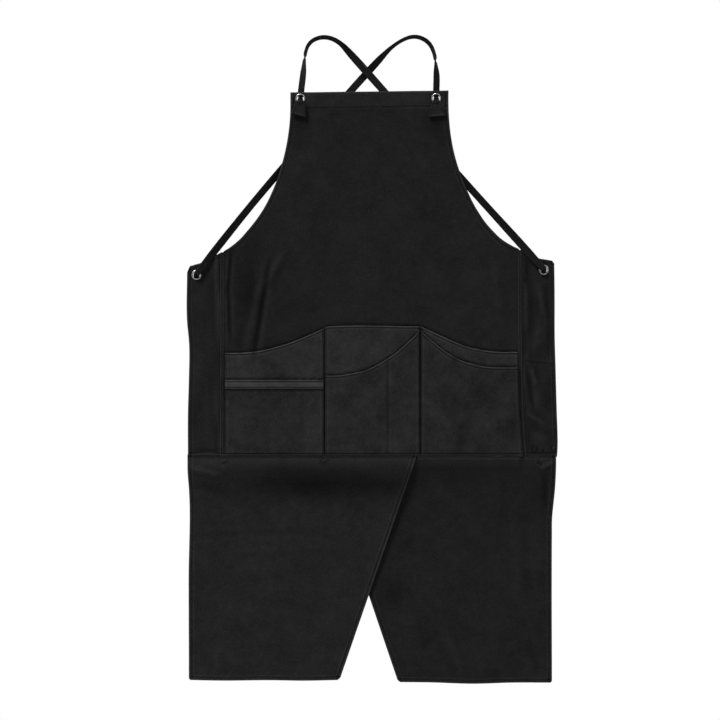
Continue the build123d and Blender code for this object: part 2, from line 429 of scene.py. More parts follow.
def dark_patch(x, z, centre, spread, depth):
    """1, less depth in a soft oval patch."""
    return 1 - depth * np.exp(-(((x - centre[0]) / spread[0]) ** 2 + ((z - centre[1]) / spread[1]) ** 2))


def dark_patched(tone, x, z, patches):
    """tone, darkened by each (centre, spread, depth) patch in turn."""
    for patch in patches:
        tone = tone * dark_patch(x, z, *patch)
    return tone


def folded(out, x, z, folds):
    """out with each (start, end, width, height) fold added in turn."""
    for start, end, width, height in folds:
        out = out + fold(x, z, start, end, width, height)
    return out


def mottle(x, z, size, seed):
    """Smooth seeded noise from -1 to 1, with lumps about size metres across."""
    lattice = np.random.default_rng(seed).uniform(-1, 1, (LATTICE, LATTICE))
    u, v = np.asarray(x, float) / size, np.asarray(z, float) / size
    i, j = np.floor(u).astype(int), np.floor(v).astype(int)
    fu, fv = u - i, v - j
    fu, fv = fu * fu * (3 - 2 * fu), fv * fv * (3 - 2 * fv)
    i0, i1 = i % LATTICE, (i + 1) % LATTICE
    j0, j1 = j % LATTICE, (j + 1) % LATTICE
    below = lattice[i0, j0] * (1 - fu) + lattice[i1, j0] * fu
    above = lattice[i0, j1] * (1 - fu) + lattice[i1, j1] * fu
    return below * (1 - fv) + above * fv


def crumple(x, z, amount, seed):
    """The shallow unevenness of hanging leather, in three sizes of lump, turned so that no lattice shows."""
    p, q = 0.8 * x - 0.6 * z, 0.6 * x + 0.8 * z
    large = 0.50 * MM * mottle(p, q, 0.041, seed)
    medium = 0.22 * MM * mottle(x + 0.3 * z, z, 0.019, seed + 1)
    small = 0.10 * MM * mottle(q, p, 0.0095, seed + 2)
    return amount * (large + medium + small)


def fold(x, z, start, end, width, height):
    """A soft ridge, or a hollow if height is negative, along a line that fades out at both ends."""
    ax, az = start
    dx, dz = end[0] - ax, end[1] - az
    length = math.hypot(dx, dz)
    along = ((x - ax) * dx + (z - az) * dz) / length
    across = ((x - ax) * dz - (z - az) * dx) / length
    fade = smoothstep(-0.35 * length, 0.25 * length, along) * smoothstep(1.35 * length, 0.75 * length, along)
    return height * fade * np.exp(-(across / width) ** 2)


# ---------------------------------------------------------------- how the leather hangs

# Waves are (height, length in x, length in z, phase) and folds (start, end, width, height).
BODY_WAVES = ((0.0011, 0.31, 0.9, 0.4), (0.0008, 0.17, -0.5, 2.0), (0.0005, 0.09, 0.21, 1.1))
BODY_FOLDS = [
    ((-0.170, -0.393), (-0.190, -0.516), 0.0060, -0.0019),
    ((-0.183, -0.405), (-0.205, -0.515), 0.0090, 0.0020),
    ((-0.230, -0.362), (-0.234, -0.415), 0.0040, -0.0009),
    ((-0.234, -0.425), (-0.231, -0.495), 0.0045, -0.0010),
    ((-0.190, -0.340), (-0.200, -0.450), 0.0180, -0.0024),
    ((-0.146, -0.360), (-0.180, -0.420), 0.0080, 0.0014),
    ((-0.118, -0.140), (-0.112, -0.190), 0.0180, -0.0012),
    ((0.105, -0.140), (0.128, -0.190), 0.0200, -0.0012),
    ((-0.040, -0.300), (-0.010, -0.420), 0.0300, 0.0012),
    ((0.120, -0.300), (0.170, -0.440), 0.0300, -0.0012),
    ((0.205, -0.380), (0.215, -0.470), 0.0100, 0.0010),
]


def quiet_near_eyelets(x, z):
    """Falls to 0 round each eyelet, where the rings hold the leather flat."""
    keep = 1.0
    for centre in EYELETS.values():
        r2 = (x - centre.x) ** 2 + (z - centre.z) ** 2
        keep = keep * (1 - np.exp(-((r2 / 0.022**2) ** 2)))
    return keep


def drape(x, z):
    """How far the body stands out from a plane.

    It lies nearly flat at its right seam, so that no gap opens there when the right side wraps back.
    """
    out = folded(wave(x, z, *BODY_WAVES), x, z, BODY_FOLDS)
    flat = 1 - 0.85 * np.exp(-(((x - SEAM_RIGHT) / 0.035) ** 2))
    return (out + crumple(x, z, 1.0, 11)) * flat * quiet_near_eyelets(x, z)


# ---------------------------------------------------------------- sheets

def steps(*distances):
    """Where grid lines run beside an edge, as distances from it in mm."""
    return np.array(distances) * MM


HEM_STEPS = steps(0, 0.12, 0.35, 0.7, 1.1, 1.7, 2.4, 3.2, 4.0, 4.6, 5.0, 5.3, 5.6, 6.0, 6.5, 7.0, 7.5, 8.0,
                  8.6, 9.4, 10.4, 11.4, 12.4, 14.0, 16.5)
MOUTH_STEPS = steps(0, 0.12, 0.35, 0.7, 1.1, 1.6, 2.1, 2.6, 3.0, 3.3, 3.6, 4.0, 4.5, 5.0, 5.5, 6.1, 6.8, 8.0,
                    10.0, 13.0)
FACING_STEPS = steps(0, 0.12, 0.35, 0.7, 1.1, 1.8, 3.0, 6.0, 10.0, 14.5, 19.0, 22.5, 24.2, 25.0, 25.5, 26.0,
                     26.5, 27.1, 27.9, 29.0, 31.0)
CUT_STEPS = steps(0, 0.12, 0.35, 0.7, 1.1, 1.6, 2.3, 3.2, 4.5, 6.0)
TUCK_STEPS = steps(0, 0.35, 1.5, 3.5, 4.6, 5.3, 5.8, 6.3, 6.8, 7.3, 8.0, 9.0, 11.0)
STRIP_STEPS = steps(0, 0.12, 0.35, 0.7, 1.1, 1.6, 2.2)
GRID = 3.6 * MM
# A paler line beside each row of stitches: painted highlight where the leather rises past the furrow, with some
# wear.
PALE_LINE_DISTANCE = 2.2 * MM
PALE_LINE_WIDTH = 0.8 * MM
# Painted shade and highlight: hollows are darker and ridges paler, the tone changing by exp(-CAVITY * curvature),
# within the range.
CAVITY = 0.0085
CAVITY_RANGE = (0.3, 1.7)


class Edge:
    """How one side of a sheet is finished.

    stitch holds the distances of its stitch rows from the edge. press is how deep the rows' furrows are, and dark
    how much painted shade darkens them. crease is the distance of a soft hollow, darkened with painted shade. A
    turned edge is folded back as far as turned and sewn down: it stands raised in front and back behind, and
    worn_and_lit says how pale its rim is, partly worn and partly painted highlight. Any other edge is cut, and
    dyed_and_shaded says how dark it is, partly dyed and partly painted shade in the gap beside it. only(x, z) is 1
    where the edge is finished this way and 0 where it's left plain.
    """

    def __init__(self, steps, stitch=(), turned=0.0, raised=0.0, back=0.0, only=None, crease=None,
                 press=0.42 * MM, dyed_and_shaded=0.6, dark=0.78, worn_and_lit=0.9):
        self.steps = steps
        self.stitch = stitch
        self.turned = turned
        self.raised = raised
        self.back = back
        self.only = only
        self.crease = crease
        self.press = press
        self.dyed_and_shaded = dyed_and_shaded
        self.dark = dark
        self.worn_and_lit = worn_and_lit


def hem(only=None):
    return Edge(HEM_STEPS, stitch=(5.3 * MM,), turned=7.2 * MM, raised=0.25 * MM, back=1.0 * MM,
                only=only, press=0.55 * MM, dark=0.7, worn_and_lit=1.0)


def mouth_hem():
    return Edge(MOUTH_STEPS, stitch=(3.3 * MM,), turned=4.9 * MM, raised=0.15 * MM, back=0.7 * MM,
                press=0.6 * MM, worn_and_lit=0.8)


def sewn(distance=2.6 * MM, dark=0.78):
    return Edge(CUT_STEPS, stitch=(distance,), press=0.22 * MM, dark=dark, dyed_and_shaded=0.3)


def cut():
    return Edge(CUT_STEPS)


def tucked():
    """The lower edge of a layer that is sewn under the leg flaps, with the crease just above their edge, darkened
    with painted shade.
    """
    return Edge(TUCK_STEPS, crease=6.3 * MM)


def plain(x, z):
    return np.ones_like(x)


class Sheet:
    """A leather panel between two side curves x(z) and two end curves z(x), at out = middle(x, z).

    grooves are functions that give the distance from a line of stitches across the panel, which is darkened with
    painted shade and edged with a painted highlight; corners the radius of each rounded corner, and tone(x, z) how
    much the leather's colour is scaled, painted shade included. z_mid is a height inside it.
    """

    def __init__(self, name, sides, middle, edges, thickness=LEATHER, grooves=(), corners=None,
                 z_mid=-0.6, tone=None):
        self.name = name
        self.left, self.right, self.bottom, self.top = sides
        self.middle = middle
        self.edges = dict(zip(("left", "right", "bottom", "top"), edges))
        self.thickness = thickness
        self.grooves = grooves
        self.corners = corners or {}
        self.z_mid = z_mid
        self.tone = tone or plain

    def slopes(self, side, t):
        """How steeply a side's curve runs at t, taken over a short stretch."""
        f = getattr(self, side)
        step = 4 * MM
        return (f(t + step) - f(t - step)) / (2 * step)

    def distances(self, x, z):
        """The distance of a point from each side, square to it."""
        return {
            "left": (x - self.left(z)) / np.sqrt(1 + self.slopes("left", z) ** 2),
            "right": (self.right(z) - x) / np.sqrt(1 + self.slopes("right", z) ** 2),
            "bottom": (z - self.bottom(x)) / np.sqrt(1 + self.slopes("bottom", x) ** 2),
            "top": (self.top(x) - z) / np.sqrt(1 + self.slopes("top", x) ** 2),
        }

    def relief(self, x, z):
        """(front, back) distance of the two faces from the middle, the front's paleness from wear and painted
        highlight, and its painted shade.
        """
        front = np.full_like(x, self.thickness / 2)
        back = np.full_like(x, self.thickness / 2)
        wear_and_highlight = np.zeros_like(x)
        shade = np.ones_like(x)
        closing = np.ones_like(x)
        for side, d in self.distances(x, z).items():
            edge = self.edges[side]
            here = 1.0 if edge.only is None else edge.only(x, z)
            d = np.maximum(d, 0)
            if edge.turned:
                near = smoothstep(edge.turned + 1.4 * MM, edge.turned - 0.8 * MM, d) * here
                front = np.maximum(front, self.thickness / 2 + edge.raised * near)
                behind = smoothstep(edge.turned + 3.9 * MM, edge.turned + 3.3 * MM, d) * here
                back = np.maximum(back, self.thickness / 2 + edge.back * behind)
                # The rim is made paler: partly wear, partly painted highlight.
                rim = np.exp(-((d - 1.2 * MM) / (1.0 * MM)) ** 2)
                wear_and_highlight = np.maximum(wear_and_highlight, edge.worn_and_lit * rim * here)
            else:
                # Painted shade at a cut edge, with its dye: the edge and the gap beside it go dark.
                shade = shade * (1 - edge.dyed_and_shaded * np.exp(-((d / (0.8 * MM)) ** 2)))
            for row in edge.stitch:
                pressed = np.exp(-((d - row) / (0.7 * MM)) ** 2) * here
                front = front - edge.press * pressed
                # Painted shade in the stitch furrow.
                shade = shade * (1 - edge.dark * np.exp(-((d - row) / (0.95 * MM)) ** 2) * here)
                # A painted highlight, with some wear, in a line beside the stitches.
                worn_and_lit = np.exp(-((d - row - PALE_LINE_DISTANCE) / PALE_LINE_WIDTH) ** 2)
                wear_and_highlight = np.maximum(wear_and_highlight, 0.45 * worn_and_lit * here)
            if edge.crease:
                hollow = np.exp(-((d - edge.crease) / (0.9 * MM)) ** 2)
                front = front - 0.7 * MM * hollow
                # Painted shade in the crease.
                shade = shade * (1 - 0.75 * hollow)
            r = self.thickness * 0.75
            closing = np.minimum(closing, np.sqrt(np.clip(1 - (1 - np.minimum(d / r, 1)) ** 2, 0, 1)))
        for groove in self.grooves:
            d = groove(x, z)
            front = front - 0.45 * MM * np.exp(-((d / (0.7 * MM)) ** 2))
            # Painted shade in the groove, and beside it a painted highlight with some wear.
            shade = shade * (1 - 0.7 * np.exp(-((d / (0.9 * MM)) ** 2)))
            wear_and_highlight = np.maximum(wear_and_highlight, 0.5 * np.exp(-(((np.abs(d) - PALE_LINE_DISTANCE) / PALE_LINE_WIDTH) ** 2)))
        return front * closing, back * closing, wear_and_highlight, shade

    def hollowness(self, x, z):
        """How sharply the sheet curves toward the front at a point, per metre."""
        h = 1.6 * MM
        middle = self.middle
        around = middle(x + h, z) + middle(x - h, z) + middle(x, z + h) + middle(x, z - h)
        return (around - 4 * middle(x, z)) / h**2

    def front(self, x, z):
        x, z = np.asarray(x, float), np.asarray(z, float)
        return self.middle(x, z) + self.relief(x, z)[0]

    def back(self, x, z):
        x, z = np.asarray(x, float), np.asarray(z, float)
        return self.middle(x, z) - self.relief(x, z)[1]

    def parts(self, low, high, span):
        """Grid lines across one direction, each held at a fixed distance from one side or spread between."""
        first, last = self.edges[low].steps, self.edges[high].steps
        count = max(2, int(round((span - first[-1] - last[-1]) / GRID)))
        lines = [("low", step) for step in first]
        lines += [("between", i / count) for i in range(1, count)]
        lines += [("high", step) for step in last[::-1]]
        return lines

    def placed(self, lines, low, high, t):
        """The grid lines' positions at t, one row of the result for each line."""
        start, end = getattr(self, low)(t), getattr(self, high)(t)
        near = np.sqrt(1 + self.slopes(low, t) ** 2)
        far = np.sqrt(1 + self.slopes(high, t) ** 2)
        a = start + self.edges[low].steps[-1] * near
        b = end - self.edges[high].steps[-1] * far
        out = np.zeros_like(t)
        for i, (kind, number) in enumerate(lines):
            if kind == "low":
                out[i] = (start + number * near)[i]
            elif kind == "high":
                out[i] = (end - number * far)[i]
            else:
                out[i] = (a + (b - a) * number)[i]
        return out

    def grid(self):
        """Columns follow the left and right sides and rows follow the ends, found in a few rounds."""
        x_mid = 0.5 * (self.left(self.z_mid) + self.right(self.z_mid))
        columns = self.parts("left", "right", float(self.right(self.z_mid) - self.left(self.z_mid)))
        rows = self.parts("bottom", "top", float(self.top(x_mid) - self.bottom(x_mid)))
        x = np.full((len(columns), len(rows)), float(x_mid))
        for _ in range(6):
            z = self.placed(rows, "bottom", "top", x.T).T
            x = self.placed(columns, "left", "right", z)
        return x, z

    def rounded(self, x, z):
        """Moves the points in each rounded corner's square onto a quarter disc."""
        x, z = x.copy(), z.copy()
        for (side, end), radius in self.corners.items():
            sx = 1 if side == "left" else -1
            sz = 1 if end == "bottom" else -1
            edge_x, edge_z = getattr(self, side)(z), getattr(self, end)(x)
            u = 1 - sx * (x - edge_x) / radius
            v = 1 - sz * (z - edge_z) / radius
            inside = (u > 0) & (v > 0)
            moved_x = edge_x + sx * radius * (1 - u * np.sqrt(1 - v.clip(0, 1) ** 2 / 2))
            moved_z = edge_z + sz * radius * (1 - v * np.sqrt(1 - u.clip(0, 1) ** 2 / 2))
            x, z = np.where(inside, moved_x, x), np.where(inside, moved_z, z)
        return x, z

    def build(self, front_material, back_material):
        """A closed mesh: a front and a back grid that share the vertices of their rim."""
        x, z = self.grid()
        n, k = x.shape
        front, back, wear_and_highlight, shade = self.relief(x, z)
        x, z = self.rounded(x, z)
        middle = self.middle(x, z)
        index = np.arange(n * k).reshape(n, k)
        other = index.copy()
        inner = (slice(1, n - 1), slice(1, k - 1))
        other[inner] = n * k + np.arange((n - 2) * (k - 2)).reshape(n - 2, k - 2)
        verts = np.concatenate([
            np.stack([x, -(middle + front), z], -1).reshape(-1, 3),
            np.stack([x, -(middle - back), z], -1)[inner].reshape(-1, 3),
        ])
        a, b, c, d = index[:-1, :-1], index[1:, :-1], index[1:, 1:], index[:-1, 1:]
        quads = np.stack([a, b, c, d], -1).reshape(-1, 4)
        a, b, c, d = other[:-1, :-1], other[1:, :-1], other[1:, 1:], other[:-1, 1:]
        behind = np.stack([a, d, c, b], -1).reshape(-1, 4)
        mesh = bpy.data.meshes.new(self.name)
        mesh.from_pydata(verts.tolist(), [], np.concatenate([quads, behind]).tolist())
        mesh.materials.append(front_material)
        mesh.materials.append(back_material)
        which = np.zeros(len(mesh.polygons), np.int32)
        which[len(quads):] = 1
        mesh.polygons.foreach_set("material_index", which)
        shade_smooth(mesh)
        # The tone carries painted shade: darker in furrows, at cut edges, in creases and hollows, and paler on
        # ridges.
        tone = self.tone(x, z) * shade * np.exp(-CAVITY * self.hollowness(x, z)).clip(*CAVITY_RANGE)
        for label, values in (("wear_and_highlight", wear_and_highlight), ("tone", tone)):
            attribute = mesh.attributes.new(label, "FLOAT", "POINT")
            both = np.concatenate([values.reshape(-1), values[inner].reshape(-1)])
            attribute.data.foreach_set("value", both.astype(np.float32))
        flat_uv(mesh, verts)
        return add_object(self.name, mesh)


def flat_uv(mesh, verts):
    """UV in metres along X and Z, so that a pattern stays on the leather when it bends."""
    layer = mesh.uv_layers.new(name="UVMap")
    loops = np.zeros(len(mesh.loops), np.int32)
    mesh.loops.foreach_get("vertex_index", loops)
    verts = np.asarray(verts)
    layer.data.foreach_set("uv", verts[loops][:, [0, 2]].astype(np.float32).ravel())


def punch(obj, centre):
    """Cuts the round hole that an eyelet's barrel fills."""
    bpy.ops.mesh.primitive_cylinder_add(vertices=40, radius=HOLE_RADIUS, depth=0.05,
                                        location=(centre.x, 0, centre.z), rotation=(math.pi / 2, 0, 0))
    cutter = bpy.context.object
    modifier = obj.modifiers.new("hole", "BOOLEAN")
    modifier.operation = "DIFFERENCE"
    modifier.solver = "EXACT"
    modifier.object = cutter
    bpy.context.view_layer.objects.active = obj
    bpy.ops.object.modifier_apply(modifier=modifier.name)
    bpy.data.objects.remove(cutter)


# ---------------------------------------------------------------- stitches

class Thread:
    """Collects the stitches of one body in one mesh."""

    def __init__(self):
        self.verts = []
        self.count = 0

    def row(self, points, surface, pitch=3.4 * MM, length=2.5 * MM, radius=0.36 * MM):
        """Stitches along (x, z) points, half sunk in the leather at out = surface(x, z)."""
        points = np.asarray(points, float)
        steps = np.hypot(*np.diff(points, axis=0).T)
        along = np.concatenate([[0], np.cumsum(steps)])
        number = int((along[-1] - length) / pitch)
        if number < 1:
            return
        starts = (along[-1] - number * pitch) / 2 + pitch * (np.arange(number) + 0.5)
        stations = np.array([-0.5, -0.34, 0.34, 0.5]) * length
        lifts = np.array([-0.35, 0.22, 0.22, -0.35]) * MM
        sizes = np.array([0.5, 1.0, 1.0, 0.5]) * radius
        centres = np.zeros((number, 4, 3))
        for j in range(4):
            s = starts + stations[j]
            x = np.interp(s, along, points[:, 0])
            z = np.interp(s, along, points[:, 1])
            out = surface(x, z) + lifts[j]
            centres[:, j] = np.stack([x, -out, z], -1)
        tangent = centres[:, 3] - centres[:, 0]
        tangent /= np.linalg.norm(tangent, axis=1)[:, None]
        normal = np.array([0, -1.0, 0]) - tangent * (tangent @ np.array([0, -1.0, 0]))[:, None]
        normal /= np.linalg.norm(normal, axis=1)[:, None]
        side = np.cross(tangent, normal)
        angles = np.arange(6) * math.pi / 3
        for j in range(4):
            ring = (np.cos(angles)[None, :, None] * side[:, None, :]
                    + np.sin(angles)[None, :, None] * normal[:, None, :])
            centres_j = centres[:, j][:, None, :] + sizes[j] * ring
            self.verts.append((self.count, j, centres_j))
        self.count += number

    def build(self, name):
        """One closed six-sided rod of four rings for each stitch."""
        blocks = {}
        for start, j, ring in self.verts:
            blocks.setdefault(start, {})[j] = ring
        verts = np.concatenate([np.stack([b[j] for j in range(4)], 1) for _, b in sorted(blocks.items())])
        number = len(verts)
        faces = []
        for j in range(3):
            for i in range(6):
                faces.append([j * 6 + i, j * 6 + (i + 1) % 6, (j + 1) * 6 + (i + 1) % 6, (j + 1) * 6 + i])
        ends = [[5, 4, 3, 2, 1, 0], [18, 19, 20, 21, 22, 23]]
        first = 24 * np.arange(number)[:, None, None]
        quads = (np.array(faces)[None] + first).reshape(-1, 4).tolist()
        caps = (np.array(ends)[None] + first).reshape(-1, 6).tolist()
        mesh = bpy.data.meshes.new(name)
        mesh.from_pydata(verts.reshape(-1, 3).tolist(), [], quads + caps)
        shade_smooth(mesh)
        mesh.materials.append(MATERIALS["thread"])
        flat_uv(mesh, verts.reshape(-1, 3))
        return add_object(name, mesh)


def edge_row(sheet, side, distance):
    """Points along one side of a sheet, a fixed distance inside it, that keep clear of the other sides."""
    f = getattr(sheet, side)
    if side in ("left", "right"):
        reach = np.linspace(BOTTOM, 0, 3000)
        sign = 1 if side == "left" else -1
    else:
        reach = np.linspace(-WIDEST, WIDEST, 3000)
        sign = 1 if side == "bottom" else -1
    slope = sheet.slopes(side, reach)
    length = np.sqrt(1 + slope**2)
    over = f(reach) + sign * distance / length
    along = reach - sign * distance * slope / length
    points = np.stack([over, along] if side in ("left", "right") else [along, over], -1)
    distances = sheet.distances(points[:, 0], points[:, 1])
    keep = np.ones(len(points), bool)
    for other, edge in sheet.edges.items():
        if other != side:
            keep &= distances[other] > max(edge.stitch, default=1.5 * MM) - 0.1 * MM
    only = sheet.edges[side].only
    if only is not None:
        keep &= only(points[:, 0], points[:, 1]) > 0.5
    return points[keep]


def sew_edges(thread, sheet):
    for side, edge in sheet.edges.items():
        for distance in edge.stitch:
            thread.row(edge_row(sheet, side, distance), sheet.front)


def line(*points):
    """Points every 0.5 mm or so along straight runs."""
    points = np.array(points, float)
    steps = np.concatenate([[0], np.cumsum(np.hypot(*np.diff(points, axis=0).T))])
    s = np.linspace(0, steps[-1], max(2, int(steps[-1] / (0.5 * MM))))
    return np.stack([np.interp(s, steps, points[:, 0]), np.interp(s, steps, points[:, 1])], -1)


make_camera()
make_world()
make_lights()
make_floor()


# ---------------------------------------------------------------- straps

def route_line(name, points):
    """The smooth line of a strap's route: a NURBS spline with the route's points as control points."""
    data = bpy.data.curves.new(name, "CURVE")
    data.dimensions = "3D"
    data.resolution_u = 24
    spline = data.splines.new("NURBS")
    spline.points.add(len(points) - 1)
    for point, place in zip(spline.points, points):
        point.co = (*place, 1)
    spline.order_u = 3
    spline.use_endpoint_u = True
    curve_object = add_object(name, data)
    mesh = bpy.data.meshes.new_from_object(curve_object)
    line_points = np.array([vertex.co for vertex in mesh.vertices])
    bpy.data.objects.remove(curve_object)
    bpy.data.meshes.remove(mesh)
    return line_points


def tape_frames(path, turn):
    """The tape's width direction along a path. turn(s) is 0 where the width lies in the XZ plane."""
    tangent = np.gradient(path, axis=0)
    tangent /= np.linalg.norm(tangent, axis=1)[:, None]
    s = np.concatenate([[0], np.cumsum(np.linalg.norm(np.diff(path, axis=0), axis=1))])
    carried = np.zeros_like(path)
    width = np.array([1.0, 0, 0])
    for i, t in enumerate(tangent):
        width = width - t * (width @ t)
        width /= np.linalg.norm(width)
        carried[i] = width
    normal = np.cross(carried, tangent)
    depth = np.array([0, 1.0, 0])
    plane = np.cross(tangent, depth)
    clear = np.linalg.norm(plane, axis=1) > 0.8
    plane[clear] /= np.linalg.norm(plane[clear], axis=1)[:, None]
    offset = np.arctan2((plane * normal).sum(1), (plane * carried).sum(1))
    held = np.interp(s, s[clear], np.unwrap(offset[clear]))
    angle = (held + np.radians(turn(s)))[:, None]
    width = np.cos(angle) * carried + np.sin(angle) * normal
    return s, width, np.cross(width, tangent)


# The tape's section, as shares of its half width and half thickness.
TAPE_SECTION = [
    (-1, 0), (-0.97, 0.55), (-0.88, 0.92), (-0.5, 1), (0, 0.94), (0.5, 1), (0.88, 0.92), (0.97, 0.55),
    (1, 0), (0.97, -0.55), (0.88, -0.92), (0.5, -1), (0, -0.94), (-0.5, -1), (-0.88, -0.92), (-0.97, -0.55),
]


def ribbon(name, path, turn, squeeze, fullness=1.0):
    """A flat tape along a path, with soft edges and two closed ends.

    squeeze(s) is the share of its width that it keeps, and fullness how much thicker than flat tape it is.
    """
    s, width, normal = tape_frames(path, turn)
    half, thick = TAPE_WIDTH / 2, TAPE_THICKNESS / 2
    count = len(TAPE_SECTION)
    narrow = squeeze(s)
    verts, uvs = [], []
    for i in range(len(path)):
        for across, up in TAPE_SECTION:
            thicker = thick * fullness * (1 + 0.8 * (1 - narrow[i]))
            verts.append(path[i] + width[i] * across * half * narrow[i] + normal[i] * up * thicker)
            uvs.append((across * half, s[i]))
    faces = []
    for i in range(len(path) - 1):
        for j in range(count):
            a, b = i * count + j, i * count + (j + 1) % count
            faces.append((a, b, b + count, a + count))
    faces.append(tuple(range(count))[::-1])
    last = (len(path) - 1) * count
    faces.append(tuple(range(last, last + count)))
    mesh = bpy.data.meshes.new(name)
    mesh.from_pydata([tuple(v) for v in verts], [], faces)
    shade_smooth(mesh)
    mesh.materials.append(MATERIALS["tape"])
    layer = mesh.uv_layers.new(name="UVMap")
    for loop in mesh.loops:
        layer.data[loop.index].uv = uvs[loop.vertex_index]
    return add_object(name, mesh)


def route(*points):
    return [tuple(c * MM for c in p) for p in points]


STRAP_LEFT = route(
    (-115, -4.6, -102.8), (-115, 6.4, -102.8), (-113.4, 6.4, -84), (-110.4, 6.4, -62), (-107.5, 6.5, -24),
    (-98, 6.8, -6), (-76, 7, 1.5), (-53, 6.8, -6), (-33, 6.6, -26.5), (150, 5.4, -233), (266, -5, -362),
    (286.6, -5, -385.1))
STRAP_RIGHT = route(
    (109.2, -4.6, -102.1), (109.2, 6.4, -102.1), (109.8, 6.6, -84), (110.4, 7.4, -62), (107.8, 9, -28),
    (97, 11, -6), (73, 13, 4), (46, 14, -7), (18, 14.2, -32), (-165, 5.6, -239), (-264, -5, -364),
    (-286.3, -5, -393.5))
# How the tape turns: distance along the strap and degrees, 0 being flat to the front and 90 edge-on.
LEFT_TURN = curve(
    (0, 0), (0.011, 12), (0.022, 26), (0.030, 30), (0.052, 44), (0.066, 64), (0.074, 76), (0.080, 103),
    (0.088, 105), (0.100, 106), (0.123, 108), (0.147, 112), (0.160, 118), (0.172, 132), (0.205, 160),
    (0.260, 180), (0.330, 158), (0.400, 144), (0.590, 144), (0.640, 168), (0.665, 180))
RIGHT_TURN = curve(
    (0, 0), (0.011, -12), (0.022, -24), (0.030, -28), (0.052, -46), (0.062, -66), (0.068, -77),
    (0.074, -104), (0.082, -107), (0.100, -109), (0.125, -106), (0.150, -104), (0.170, -107),
    (0.185, -120), (0.205, -144), (0.235, -165), (0.270, -180), (0.340, -158), (0.410, -144),
    (0.600, -144), (0.650, -168), (0.675, -180))
EYELET_SQUEEZE = curve((0, 0.60), (0.010, 0.70), (0.018, 0.95), (0.028, 1.0), (0.300, 1.0), (0.640, 1.0),
                       (0.660, 0.86), (0.675, 0.80))


def make_strap(name, points, turn, node):
    path = route_line(name, points)
    strap = ribbon(name, path, turn, EYELET_SQUEEZE)
    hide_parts(node)
    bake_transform(strap)


make_strap("strap_left", STRAP_LEFT, LEFT_TURN, "strap_left_chest")
make_strap("strap_right", STRAP_RIGHT, RIGHT_TURN, "strap_right_chest")


# ---------------------------------------------------------------- outlines

ARM_LEFT = curve(
    (-0.3553, -0.2436), (-0.3534, -0.2400), (-0.3374, -0.2180), (-0.319, -0.2010), (-0.286, -0.1766),
    (-0.253, -0.1600), (-0.204, -0.1436), (-0.150, -0.1335), (-0.120, -0.1315), (-0.090, -0.1315))
ARM_RIGHT = curve(
    (-0.3515, 0.2480), (-0.349, 0.2420), (-0.338, 0.2220), (-0.319, 0.2010), (-0.286, 0.1766),
    (-0.253, 0.1600), (-0.204, 0.1420), (-0.1345, 0.1304), (-0.110, 0.1295), (-0.090, 0.1295))


def straight(a, b):
    """The straight line through two (t, value) points."""
    return lambda t: a[1] + (np.asarray(t, float) - a[0]) * (b[1] - a[1]) / (b[0] - a[0])


# The right seam leans outward toward the waist.
LEAN = curve((-0.7000, 0.0088), (-0.6850, 0.0074), (-0.6600, 0.0050), (-0.6000, 0.0020), (-0.4800, 0.0),
             (-0.3500, 0.0))


def leaning(side):
    """A side curve x(z) moved outward by the right seam's lean."""
    return lambda z: side(z) + LEAN(z)


def over_arm(x, z):
    """1 on the body's free edges and 0 down the side seams."""
    return smoothstep(-0.3560, -0.3520, z)


def mouth_gap(x, z, names):
    """Darkens the leather just above a pocket's mouth, where little light gets in."""
    out = 1.0
    for name in names:
        left, right = POCKET_SIDES[name.split("_")[0]]
        inside = smoothstep(left - 1 * MM, left + 1 * MM, x) * smoothstep(right + 1 * MM, right - 1 * MM, x)
        above = z - MOUTHS[name](x)
        out = out * (1 - 0.85 * inside * np.exp(-(((above - 1.2 * MM) / (2.2 * MM)) ** 2)))
    return out


def ring_shaded(tone, x, z):
    """tone, with painted shade in a ring just outside each eyelet."""
    for centre in EYELETS.values():
        r = np.hypot(x - centre.x, z - centre.z)
        tone = tone * (1 - 0.6 * np.exp(-(((r - 9.2 * MM) / (0.9 * MM)) ** 2)))
    return tone


# Dark patches are (centre, spread, depth). The bib's are painted shade under the chest tabs.
BIB_PATCHES = (
    ((-0.112, -0.150), (0.024, 0.020), 0.18),
    ((0.104, -0.148), (0.024, 0.020), 0.3),
)


def body_tone(x, z):
    """The body is a little darker than the flaps, and its faced top paler. Painted shade darkens the lower left of
    the bib over its folds, the bib under the chest tabs, a ring round each eyelet and the leather above the pocket
    mouths.
    """
    tone = 0.83 + 0.19 * smoothstep(-0.1190, -0.1175, z)
    # Painted shade over the folds at the lower left of the bib.
    tone = tone * dark_patch(x, z, (-0.195, -0.430), (0.042, 0.080), 0.35)
    tone = dark_patched(ring_shaded(tone, x, z), x, z, BIB_PATCHES)
    return tone * mouth_gap(x, z, ("left_pocket_back", "centre_pocket_back", "right_pocket_back"))


BIB_TOP = straight((-0.1315, -0.0923), (0.1295, -0.0894))
FACED = Edge(FACING_STEPS, stitch=(26.0 * MM,), raised=0.3 * MM, turned=27.4 * MM)

body = Sheet(
    "body_front",
    (ARM_LEFT, leaning(ARM_RIGHT), constant(WAIST + 0.5 * MM), BIB_TOP),
    drape,
    (hem(over_arm), hem(over_arm), cut(), FACED),
    z_mid=-0.5,
    tone=body_tone,
)


# ---------------------------------------------------------------- pockets

POCKET_BOTTOM = WAIST - 2 * MM
LEFT_POCKET = (-0.2400, -0.0760)
CENTRE_POCKET = (-0.0744, 0.0820)
RIGHT_POCKET = (0.0836, 0.2446)
POCKET_SIDES = {"left": LEFT_POCKET, "centre": CENTRE_POCKET, "right": RIGHT_POCKET}

